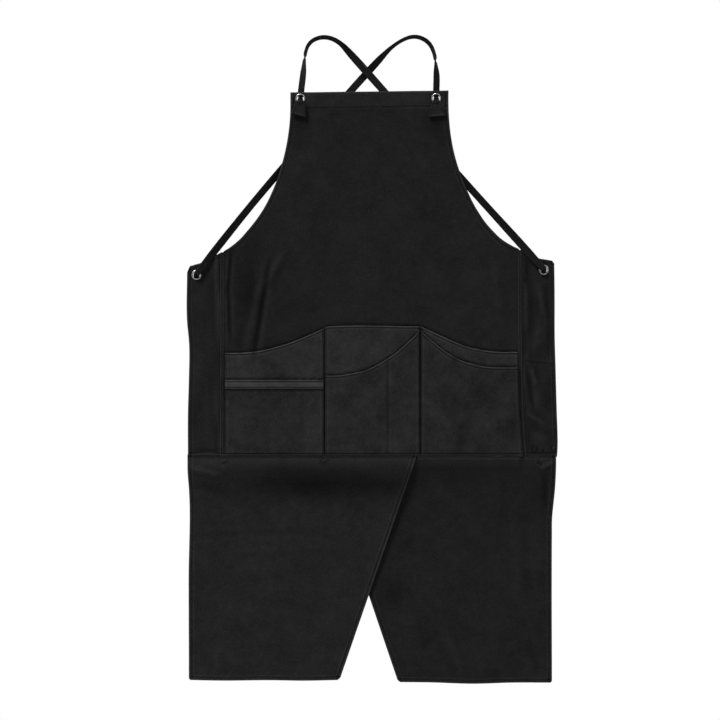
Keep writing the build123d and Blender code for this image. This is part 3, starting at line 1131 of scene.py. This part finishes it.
MOUTHS = {
    "left_pocket_back": curve((-0.240, -0.5225), (-0.193, -0.5206), (-0.136, -0.5070), (-0.076, -0.4820)),
    "left_pocket_front": constant(-0.5674),
    "centre_pocket_back": curve((-0.0744, -0.4815), (-0.071, -0.4788), (-0.066, -0.4785), (0.082, -0.4785)),
    "centre_pocket_front": curve((-0.0744, -0.5598), (-0.0485, -0.5592), (-0.0297, -0.5560), (-0.0106, -0.5520),
                                 (0.0083, -0.5440), (0.0270, -0.5330), (0.0400, -0.5240), (0.0525, -0.5140),
                                 (0.0650, -0.5020), (0.0740, -0.4940), (0.0820, -0.4835)),
    "right_pocket_back": curve((0.0836, -0.4785), (0.1106, -0.4910), (0.1366, -0.5030), (0.1564, -0.5110),
                               (0.1760, -0.5160), (0.2025, -0.5200), (0.2446, -0.5206)),
    "right_pocket_front": curve((0.0836, -0.4860), (0.0970, -0.4975), (0.1106, -0.5095), (0.1240, -0.5200),
                                (0.1366, -0.5280), (0.1500, -0.5346), (0.1696, -0.5410), (0.1890, -0.5450),
                                (0.2160, -0.5463), (0.2446, -0.5462)),
}
PEN_LINE = 0.0297


def gape(x, z, sides, mouth, depth):
    """A pocket stands off most at the middle of its mouth and lies flat where it is sewn."""
    left, right = sides
    across = 1 - np.abs(np.clip(2 * (x - left) / (right - left) - 1, -1, 1)) ** 3
    height = np.clip((z - POCKET_BOTTOM) / (mouth(x) - POCKET_BOTTOM), 0, 1)
    return depth * across * (0.25 * np.sin(np.pi * height) + height**2.2)


def pocket_back_middle(sides, name, depth, ripples):
    def middle(x, z):
        out = drape(x, z) + 1.5 * MM + gape(x, z, sides, MOUTHS[name], depth) + wave(x, z, *ripples)
        return out + crumple(x, z, 0.5, 23) + 0.5 * MM
    return middle


def pocket_front_middle(sides, behind, name, depth, ripples):
    def middle(x, z):
        out = behind(x, z) + 1.45 * MM + gape(x, z, sides, MOUTHS[name], depth) + wave(x, z, *ripples)
        return out + crumple(x, z, 0.5, 37) + 0.4 * MM
    return middle


BACK_RIPPLES = ((0.00035, 0.12, 0.30, 0.3), (0.00025, 0.07, -0.16, 1.7))
FRONT_RIPPLES = ((0.0003, 0.10, -0.24, 2.3), (0.0002, 0.06, 0.13, 0.2))

left_back_middle = pocket_back_middle(LEFT_POCKET, "left_pocket_back", 2.4 * MM, BACK_RIPPLES)
left_front_middle = pocket_front_middle(
    LEFT_POCKET, left_back_middle, "left_pocket_front", 2.6 * MM, FRONT_RIPPLES)
centre_back_middle = pocket_back_middle(CENTRE_POCKET, "centre_pocket_back", 2.0 * MM, BACK_RIPPLES)
centre_front_middle = pocket_front_middle(
    CENTRE_POCKET, centre_back_middle, "centre_pocket_front", 2.6 * MM, FRONT_RIPPLES)
right_back_middle = pocket_back_middle(RIGHT_POCKET, "right_pocket_back", 2.4 * MM, BACK_RIPPLES)
right_front_middle = pocket_front_middle(
    RIGHT_POCKET, right_back_middle, "right_pocket_front", 2.8 * MM, FRONT_RIPPLES)


def pen_groove(x, z):
    return x - PEN_LINE


def pocket(name, sides, middle, grooves=()):
    left, right = sides

    def tone(x, z):
        # Small dark spots on the pockets.
        dark_spots = dark_patch(x, z, (0.141, -0.533), (0.006, 0.009), 0.45)
        if name.endswith("back"):
            return dark_spots * mouth_gap(x, z, (name.replace("back", "front"),))
        if name == "right_pocket_front":
            dark_spots = dark_spots * dark_patch(x, z, (0.148, -0.668), (0.006, 0.016), 0.28)
            return 0.8 * dark_spots * dark_patch(x, z, (0.236, -0.645), (0.008, 0.020), 0.28)
        return np.full_like(x, 0.87)

    edges = (sewn(dark=0.3), sewn(dark=0.3), tucked(), mouth_hem())
    right_edge = leaning(constant(right)) if sides is RIGHT_POCKET else constant(right)
    outline = (constant(left), right_edge, constant(POCKET_BOTTOM), MOUTHS[name])
    return Sheet(name + "_leather", outline, middle, edges, thickness=POCKET_LEATHER, grooves=grooves, tone=tone)


POCKETS = {
    "left_pocket_back": pocket("left_pocket_back", LEFT_POCKET, left_back_middle),
    "left_pocket_front": pocket("left_pocket_front", LEFT_POCKET, left_front_middle),
    "centre_pocket_back": pocket("centre_pocket_back", CENTRE_POCKET, centre_back_middle),
    "centre_pocket_front": pocket("centre_pocket_front", CENTRE_POCKET, centre_front_middle, (pen_groove,)),
    "right_pocket_back": pocket("right_pocket_back", RIGHT_POCKET, right_back_middle),
    "right_pocket_front": pocket("right_pocket_front", RIGHT_POCKET, right_front_middle),
}

BAND_TOP = -0.5668
BAND_DEPTH = 15.0 * MM
BAND_LEATHER = 1.1 * MM


def band_middle(x, z):
    return left_front_middle(x, z) + POCKET_LEATHER / 2 + 0.5 * MM + BAND_LEATHER / 2


band = Sheet(
    "pocket_band_leather",
    (constant(LEFT_POCKET[0]), constant(LEFT_POCKET[1]), constant(BAND_TOP - BAND_DEPTH), constant(BAND_TOP)),
    band_middle,
    (cut(), cut(), sewn(3.0 * MM), sewn(3.0 * MM)),
    thickness=BAND_LEATHER,
)


# ---------------------------------------------------------------- seam strips and facing

STRIP_WIDTH = 5.8 * MM
STRIP_THICKNESS = 1.1 * MM


def strip_sheet(name, seam, top):
    """seam is a curve x(z)."""
    edge = Edge(STRIP_STEPS, dyed_and_shaded=0.15)
    end = cut()

    def middle(x, z):
        return drape(x, z) + LEATHER / 2 + STRIP_THICKNESS / 2 + 0.1 * MM

    def groove(x, z):
        return x - seam(z)

    def left(z):
        return seam(z) - STRIP_WIDTH / 2

    def right(z):
        return seam(z) + STRIP_WIDTH / 2

    return Sheet(name, (left, right, constant(WAIST), constant(top)), middle, (edge, edge, end, end),
                 thickness=STRIP_THICKNESS, grooves=(groove,))


STRIPS = {
    "left_seam_strip": strip_sheet("left_seam_leather", constant(SEAM_LEFT - 0.5 * MM), -0.3565),
    "right_seam_strip": strip_sheet("right_seam_leather", leaning(constant(SEAM_RIGHT - 0.6 * MM)), -0.3525),
}

FACING_TOP = straight((-0.1315, -0.093), (0.1295, -0.090))
FACING_BOTTOM = straight((-0.1315, -0.117), (0.1295, -0.114))


def facing_middle(x, z):
    return drape(x, z) - LEATHER - 0.02 * MM


facing = Sheet(
    "bib_facing_leather",
    (constant(BIB_LEFT), constant(BIB_RIGHT), FACING_BOTTOM, FACING_TOP),
    facing_middle,
    (cut(), cut(), cut(), cut()),
    z_mid=-0.1,
)


# ---------------------------------------------------------------- side panels

LEFT_TOP = curve((-0.3020, -0.3860), (-0.2988, -0.3807), (-0.2914, -0.3774), (-0.2789, -0.3737),
                 (-0.2525, -0.3600), (-0.2440, -0.3556))
RIGHT_TOP = curve((0.2485, -0.3518), (0.2540, -0.3550), (0.2780, -0.3660), (0.2945, -0.3690),
                  (0.3020, -0.3710), (0.3055, -0.3734))
LEFT_OUTER = curve((-0.7000, -0.3005), (-0.6200, -0.3005), (-0.5700, -0.2990), (-0.5000, -0.2990),
                   (-0.4750, -0.3015), (-0.3800, -0.3018))
RIGHT_OUTER = curve((-0.7100, 0.3070), (-0.6800, 0.3095), (-0.6170, 0.3083), (-0.5100, 0.3052),
                    (-0.4000, 0.3045), (-0.3700, 0.3040))
SIDE_MIDDLE = -(SIDE_LEFT_LOW.y + SIDE_LEFT_HIGH.y) / 2

LEFT_SIDE_FOLDS = [
    ((-0.262, -0.400), (-0.256, -0.500), 0.0080, -0.0008),
    ((-0.280, -0.420), (-0.285, -0.560), 0.0100, 0.0006),
    ((-0.262, -0.580), (-0.258, -0.670), 0.0080, -0.0006),
    ((-0.285, -0.690), (-0.246, -0.689), 0.0040, 0.0018),
]
RIGHT_SIDE_FOLDS = [
    ((0.2545, -0.395), (0.2570, -0.520), 0.0055, 0.0006),
    ((0.2660, -0.410), (0.2670, -0.500), 0.0080, -0.0011),
    ((0.2800, -0.415), (0.2850, -0.455), 0.0065, 0.0014),
    ((0.2950, -0.430), (0.2960, -0.520), 0.0060, -0.0007),
    ((0.2590, -0.535), (0.2980, -0.541), 0.0030, -0.0004),
    ((0.2660, -0.548), (0.2720, -0.572), 0.0060, 0.0016),
    ((0.2620, -0.565), (0.2680, -0.610), 0.0055, -0.0015),
    ((0.2780, -0.590), (0.2860, -0.620), 0.0100, 0.0009),
    ((0.2600, -0.623), (0.2850, -0.637), 0.0048, 0.0008),
    ((0.2700, -0.645), (0.2950, -0.655), 0.0080, -0.0010),
    ((0.2690, -0.6815), (0.2722, -0.6812), 0.0030, 0.0024),
    ((0.3015, -0.6805), (0.3045, -0.6800), 0.0030, 0.0024),
    ((0.2860, -0.6835), (0.2890, -0.6830), 0.0040, -0.0012),
]


def side_middle(folds, terms, crushed):
    """A side panel meets the body at its seam, and is flat round its eyelet."""
    def middle(x, z):
        seam = np.where(x < 0, SEAM_LEFT, SEAM_RIGHT + LEAN(z))
        share = smoothstep(0, 0.012, np.abs(x - seam))
        out = folded(SIDE_MIDDLE + wave(x, z, *terms) + crumple(x, z, crushed, 51), x, z, folds)
        out = SIDE_MIDDLE + (out - SIDE_MIDDLE) * quiet_near_eyelets(x, z)
        return drape(seam, z) * (1 - share) * quiet_near_eyelets(x, z) + out * share
    return middle


# Painted shade beside the puckers just above the waist seam.
SIDE_PATCHES = (
    ((-0.2535, -0.6870), (0.0045, 0.0012), 0.9),
    ((0.2690, -0.6770), (0.0040, 0.0030), 0.7),
)


def side_tone(x, z):
    return ring_shaded(dark_patched(np.where(x < 0, 0.82, 0.88), x, z, SIDE_PATCHES), x, z)


left_side = Sheet(
    "left_side_leather",
    (LEFT_OUTER, constant(SEAM_LEFT - 0.4 * MM), constant(WAIST - 1 * MM), LEFT_TOP),
    side_middle(LEFT_SIDE_FOLDS, ((0.0007, 0.10, 0.28, 0.5), (0.0005, -0.06, 0.12, 1.0)), 0.9),
    (hem(), cut(), tucked(), hem()),
    corners={("left", "top"): 5 * MM},
    tone=side_tone,
)
right_side = Sheet(
    "right_side_leather",
    (leaning(constant(SEAM_RIGHT + 0.4 * MM)), RIGHT_OUTER, constant(WAIST - 1 * MM), RIGHT_TOP),
    side_middle(RIGHT_SIDE_FOLDS, ((0.0009, 0.08, 0.15, 0.2), (0.0006, -0.05, 0.09, 2.0)), 1.7),
    (cut(), hem(), tucked(), hem()),
    corners={("right", "top"): 4 * MM},
    tone=side_tone,
)


# ---------------------------------------------------------------- leg flaps

FLAP_TOP = WAIST + 3.0 * MM
UNDER_TOP_OUT = 4.3 * MM
OVER_TOP_OUT = 5.9 * MM
UNDER_OUT = -(UNDER_LOW.y + UNDER_HIGH.y) / 2
OVER_OUT = 3.2 * MM

OVER_HANG = curve((-0.6880, OVER_TOP_OUT), (-0.6950, 0.0068), (-0.7000, 0.0077), (-0.7060, 0.0081),
                  (-0.7200, 0.0073), (-0.7450, 0.0050), (-0.7700, 0.0034), (-0.7900, 0.0030),
                  (-0.8200, 0.0031), (-1.0700, OVER_OUT))
UNDER_HANG = curve((-0.6880, UNDER_TOP_OUT), (-0.6960, 0.0046), (-0.7040, 0.0040), (-0.7150, 0.0020),
                   (-0.7300, 0.0000), (-0.7500, -0.0012), (-0.8600, -0.0012), (-0.9400, UNDER_OUT),
                   (-1.0700, UNDER_OUT))
OVER_LEFT = curve((-1.0640, -0.2987), (-0.9000, -0.2990), (-0.7400, -0.2988), (-0.7250, -0.3000),
                  (-0.6880, -0.3010))
OVER_RIGHT = straight((-0.6925, 0.0770), (-1.0625, -0.0505))
UNDER_LEFT = straight((-0.6925, -0.0800), (-1.0655, 0.0465))
UNDER_RIGHT = curve((-1.0680, 0.3003), (-0.8200, 0.3003), (-0.7980, 0.3005), (-0.7650, 0.3036),
                    (-0.7480, 0.3053), (-0.7150, 0.3068), (-0.6880, 0.3070))
OVER_BOTTOM = curve((-0.3000, -1.0615), (-0.2400, -1.0625), (-0.1700, -1.0618), (-0.1100, -1.0625),
                    (-0.0500, -1.0615))
UNDER_BOTTOM = curve((0.0450, -1.0655), (0.1000, -1.0660), (0.1700, -1.0680), (0.2400, -1.0665),
                     (0.3000, -1.0665))

OVER_FOLDS = [
    ((-0.290, -0.712), (-0.250, -0.722), 0.0060, 0.0008),
    ((-0.285, -0.738), (-0.230, -0.755), 0.0110, -0.0009),
    ((-0.270, -0.822), (-0.100, -0.818), 0.0080, -0.0004),
    ((-0.220, -0.847), (-0.060, -0.840), 0.0090, 0.0004),
    ((-0.250, -1.010), (-0.256, -1.048), 0.0090, 0.0005),
    ((-0.0765, -0.6970), (-0.0765, -0.7020), 0.0030, 0.0018),
    ((-0.2400, -0.6960), (-0.2410, -0.7010), 0.0030, 0.0016),
]
UNDER_FOLDS = [
    ((0.238, -0.798), (0.243, -0.930), 0.0130, 0.0006),
    ((0.254, -0.800), (0.260, -0.920), 0.0110, -0.0007),
    ((0.288, -0.725), (0.290, -0.775), 0.0070, -0.0008),
    ((0.110, -0.700), (0.120, -0.770), 0.0160, 0.0010),
    ((0.062, -0.835), (0.072, -0.860), 0.0090, -0.0006),
    ((0.128, -0.990), (0.150, -1.045), 0.0090, 0.0008),
    ((0.110, -0.985), (0.085, -1.010), 0.0080, -0.0007),
    ((0.262, -1.000), (0.275, -1.045), 0.0090, -0.0006),
    ((0.300, -0.700), (0.284, -0.712), 0.0055, 0.0008),
    ((0.276, -0.700), (0.284, -0.708), 0.0030, -0.0009),
]


def flap_middle(hang, folds, terms, seed):
    """A leg flap hangs free from the waist seam, which its top edge laps."""
    def middle(x, z):
        free = smoothstep(WAIST, WAIST - 0.060, z)
        out = hang(z) + (wave(x, z, *terms) + crumple(x, z, 1.0, seed)) * free
        past_pockets = smoothstep(0.238, 0.252, np.abs(x)) * smoothstep(WAIST - 0.028, WAIST + 0.001, z)
        out = out - past_pockets * (UNDER_TOP_OUT - LEATHER - 0.6 * MM)
        for start, end, width, height in folds:
            out = out + fold(x, z, start, end, width, height) * smoothstep(WAIST, WAIST - 0.012, z)
        return out
    return middle


OVER_PATCHES = (
    ((-0.095, -0.741), (0.055, 0.019), 0.40),
    ((0.020, -0.744), (0.045, 0.016), 0.25),
    ((-0.060, -0.734), (0.185, 0.028), 0.45),
)
# Painted shade beside the over flap's edge and in the under flap's hollows.
UNDER_PATCHES = (
    ((0.036, -0.920), (0.020, 0.020), 0.40),
    ((0.060, -0.836), (0.016, 0.018), 0.22),
    ((0.286, -0.760), (0.014, 0.030), 0.30),
)


def over_tone(x, z):
    """The hollow under the waist seam holds less light, most of all left of the middle."""
    return dark_patched(0.94 - 0.2 * smoothstep(-0.702, -0.695, z), x, z, OVER_PATCHES)


def under_tone(x, z):
    return dark_patched(0.77, x, z, UNDER_PATCHES)


over_flap = Sheet(
    "over_flap_leather",
    (OVER_LEFT, OVER_RIGHT, OVER_BOTTOM, constant(FLAP_TOP)),
    flap_middle(OVER_HANG, OVER_FOLDS, ((0.0010, 0.36, 0.80, 0.2), (0.0006, 0.17, -0.30, 1.4)), 67),
    (hem(), hem(), hem(), sewn(3.4 * MM)),
    corners={("left", "bottom"): 4 * MM, ("right", "bottom"): 5 * MM},
    z_mid=-0.88,
    tone=over_tone,
)
under_flap = Sheet(
    "under_flap_leather",
    (UNDER_LEFT, UNDER_RIGHT, UNDER_BOTTOM, constant(FLAP_TOP - 0.3 * MM)),
    flap_middle(UNDER_HANG, UNDER_FOLDS, ((0.0009, 0.30, 0.70, 2.2), (0.0006, 0.15, -0.26, 0.4)), 83),
    (hem(), hem(), hem(), sewn(3.4 * MM)),
    corners={("left", "bottom"): 5 * MM, ("right", "bottom"): 4 * MM},
    z_mid=-0.88,
    tone=under_tone,
)


# ---------------------------------------------------------------- making the leather pieces

def waist_blend(obj):
    """Bakes the object's transform into its mesh and leaves it attached to no body."""
    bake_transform(obj)


def panel(sheet, material, node, body_name="root", blend_to=None):
    obj = sheet.build(MATERIALS[material], MATERIALS["suede"])
    for centre in EYELETS.values():
        low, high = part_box(node)
        if low.x < centre.x < high.x and low.z < centre.z < high.z:
            punch(obj, centre)
    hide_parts(node)
    if blend_to is None:
        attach(obj, body_name)
    else:
        waist_blend(obj)
    return obj


SIDE_FREE = -0.450
FLAP_FREE = WAIST - 0.070


def make_body():
    panel(body, "body", "body_panel")
    panel(facing, "body", "bib_facing")
    thread = Thread()
    sew_edges(thread, body)
    for name, strip in STRIPS.items():
        panel(strip, "body", name)
        z = np.linspace(WAIST + 4 * MM, float(strip.top(0.0)) - 2 * MM, 60)
        thread.row(list(zip(0.5 * (strip.left(z) + strip.right(z)), z)), strip.front)
    return thread


def make_pockets(thread):
    for name, sheet in POCKETS.items():
        panel(sheet, "pocket", name)
        sew_edges(thread, sheet)
    panel(band, "trim", "left_pocket_band")
    sew_edges(thread, band)
    pen = POCKETS["centre_pocket_front"]
    top = float(pen.top(PEN_LINE))
    thread.row(line((PEN_LINE, WAIST + 4 * MM), (PEN_LINE, top - 4 * MM)), pen.front)


def sew(thread, name, body_name, far=None):
    obj = thread.build(name)
    if far is None:
        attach(obj, body_name)
    else:
        waist_blend(obj)


def make_sides():
    for sheet, side, material in ((left_side, "left_side", "body"), (right_side, "right_side", "side")):
        panel(sheet, material, side + "_panel", side, blend_to=SIDE_FREE)
        thread = Thread()
        sew_edges(thread, sheet)
        sew(thread, side + "_stitches", side, SIDE_FREE)


def make_flaps():
    flaps = ((over_flap, "over_flap", "over_leg_flap", (0.376, 0.373), 0.115),
             (under_flap, "under_flap", "under_leg_flap", (0.387, 0.377), 0.118))
    for sheet, body_name, node, flat, area in flaps:
        panel(sheet, "body", node, body_name, blend_to=FLAP_FREE)
        thread = Thread()
        sew_edges(thread, sheet)
        sew(thread, body_name + "_stitches", body_name, FLAP_FREE)


# ---------------------------------------------------------------- stoppers and eyelets

TAB_THICKNESS = 2.6 * MM


def tab_sheet(name, sides, out, z_mid):
    """A bell-shaped stopper of doubled leather, stitched down its sides and open at its rolled foot."""
    def middle(x, z):
        return np.full_like(np.asarray(x, float), out)

    edge = Edge(STRIP_STEPS, stitch=(2.0 * MM,), dyed_and_shaded=0.1, dark=0.45)
    rim = Edge(CUT_STEPS, turned=2.8 * MM, raised=0.5 * MM)
    corners = {("left", "bottom"): 2.2 * MM, ("right", "bottom"): 2.2 * MM,
               ("left", "top"): 3.5 * MM, ("right", "top"): 3.5 * MM}
    return Sheet(name, sides, middle, (edge, edge, rim, Edge(STRIP_STEPS)), thickness=TAB_THICKNESS,
                 corners=corners, z_mid=z_mid)


CHEST_TAB_OUT = 3.6 * MM
WAIST_TAB_OUT = -4.15 * MM


def chest_left_tab():
    sides = (
        curve((-0.1300, -0.1298), (-0.1240, -0.1283), (-0.1180, -0.1262), (-0.1120, -0.1240),
              (-0.1060, -0.1222)),
        curve((-0.1350, -0.1052), (-0.1240, -0.1054), (-0.1120, -0.1057), (-0.1060, -0.1066)),
        straight((-0.1298, -0.1275), (-0.1052, -0.1345)),
        constant(-0.1064),
    )
    return tab_sheet("chest_left_tab_leather", sides, CHEST_TAB_OUT, -0.12)


def chest_right_tab():
    sides = (
        curve((-0.1340, 0.0962), (-0.1240, 0.0982), (-0.1150, 0.1003), (-0.1080, 0.1022), (-0.1050, 0.1030)),
        curve((-0.1320, 0.1254), (-0.1240, 0.1246), (-0.1160, 0.1218), (-0.1090, 0.1176), (-0.1050, 0.1152)),
        straight((0.0962, -0.1334), (0.1254, -0.1317)),
        constant(-0.1058),
    )
    return tab_sheet("chest_right_tab_leather", sides, CHEST_TAB_OUT, -0.12)


def waist_tab(name, centre):
    x = centre.x
    top, bottom = centre.z - 0.0035, centre.z - 0.0300
    sides = (
        curve((bottom, x - 0.0132), (bottom + 0.010, x - 0.0110), (top - 0.004, x - 0.0066),
              (top, x - 0.0060)),
        curve((bottom, x + 0.0132), (bottom + 0.010, x + 0.0110), (top - 0.004, x + 0.0066),
              (top, x + 0.0060)),
        constant(bottom),
        constant(top),
    )
    return tab_sheet(name + "_leather", sides, WAIST_TAB_OUT, centre.z - 0.018)


def make_tabs():
    tabs = {
        "chest_left": chest_left_tab(),
        "chest_right": chest_right_tab(),
        "waist_left": waist_tab("waist_left_tab", EYELETS["waist_left"]),
        "waist_right": waist_tab("waist_right_tab", EYELETS["waist_right"]),
    }
    for name, sheet in tabs.items():
        obj = sheet.build(MATERIALS["body"], MATERIALS["body"])
        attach(obj, name + "_stopper")
        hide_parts(name + "_tab")
        thread = Thread()
        for side in ("left", "right"):
            thread.row(edge_row(sheet, side, 2.0 * MM), sheet.front, pitch=3.0 * MM, length=2.1 * MM)
        stitches = thread.build(name + "_tab_stitches")
        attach(stitches, name + "_stopper")


def tape_plug(name, points, body_name, fullness):
    """Tape bunched up where it goes through an eyelet."""
    obj = ribbon(name, route_line(name, points), constant(0.0), constant(0.80), fullness=fullness)
    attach(obj, body_name)
    return obj


def make_tape_ends():
    """The short stretches of tape that join the straps to their stoppers through the eyelets."""
    for side in ("left", "right"):
        x, _, z = EYELETS["waist_" + side]
        points = [(x, -0.0028, z), (x, -0.0010, z), (x, 0.0016, z), (x, 0.0042, z - 0.0020),
                  (x, 0.0042, z - 0.0090)]
        plug = tape_plug("waist_" + side + "_tape", points, side + "_side", 2.6)
        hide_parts("waist_" + side + "_tape_end")
        x, _, z = EYELETS["chest_" + side]
        points = [(x, 0.0020, z - 0.0012), (x, -0.0004, z - 0.0012), (x, -0.0026, z - 0.0022),
                  (x, -0.0036, z - 0.0050), (x, -0.0038, z - 0.0090)]
        tape_plug("chest_" + side + "_tape", points, "root", 1.5)


# The eyelet's section, as (radius, distance) points in mm. The rounded front flange is measured toward the
# viewer from its seat. The barrel's rolled end is measured forward from the back of the eyelet.
FLANGE_HEIGHT = 1.2 * MM
FLANGE = [(8.15, 0.2), (8.1, 0.6), (7.9, 0.95), (7.5, 1.15), (7.1, 1.2), (6.75, 1.1), (6.45, 0.8),
          (6.2, 0.3), (5.95, -0.3)]
ROLL = [(5.95, 0.5), (6.05, 0.1), (6.4, 0), (6.8, 0.3), (6.8, 0.5), (6.3, 0.6)]
BARREL_RADIUS = 6.15 * MM
FLANGE_INSIDE = 8.05 * MM
WASHER_RADIUS = 8.2 * MM
WASHER_CHAMFER = 0.15 * MM


def lathe(name, profile, centre, segments=72):
    """A closed turned ring round the Y axis through centre. profile holds (radius, y) points in metres."""
    angles = np.arange(segments) * 2 * math.pi / segments
    verts = [(centre.x + r * math.cos(a), y, centre.z + r * math.sin(a)) for a in angles for r, y in profile]
    count = len(profile)
    faces = []
    for i in range(segments):
        for j in range(count):
            k, nxt = (j + 1) % count, (i + 1) % segments
            faces.append((i * count + j, i * count + k, nxt * count + k, nxt * count + j))
    mesh = bpy.data.meshes.new(name)
    mesh.from_pydata(verts, [], faces)
    shade_smooth(mesh)
    mesh.materials.append(MATERIALS["nickel"])
    mesh.validate()
    return add_object(name, mesh)


def eyelet_part(name, profile, centre, body_name, node):
    part = lathe(name, profile, centre)
    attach(part, body_name)
    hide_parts(node)


def make_eyelets():
    for name, centre in EYELETS.items():
        low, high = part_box(name + "_grommet")
        face = low.y + FLANGE_HEIGHT
        profile = [(r * MM, face - out * MM) for r, out in FLANGE]
        profile += [(r * MM, high.y - forward * MM) for r, forward in ROLL]
        profile += [(BARREL_RADIUS, face), (FLANGE_INSIDE, face)]
        eyelet_part(name + "_eyelet", profile, centre, EYELET_BODIES[name], name + "_grommet")
        low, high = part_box(name + "_washer")
        chamfer = high.y - WASHER_CHAMFER
        plate = [(HOLE_RADIUS, low.y), (WASHER_RADIUS, low.y), (WASHER_RADIUS, chamfer),
                 (WASHER_RADIUS - WASHER_CHAMFER, high.y), (HOLE_RADIUS + WASHER_CHAMFER, high.y),
                 (HOLE_RADIUS, chamfer)]
        eyelet_part(name + "_back_washer", plate, centre, EYELET_BODIES[name], name + "_washer")


root_thread = make_body()
make_pockets(root_thread)
sew(root_thread, "body_stitches", "root")
make_sides()
make_flaps()
make_tabs()
make_tape_ends()
make_eyelets()

bpy.context.scene.view_settings.view_transform = "Standard"
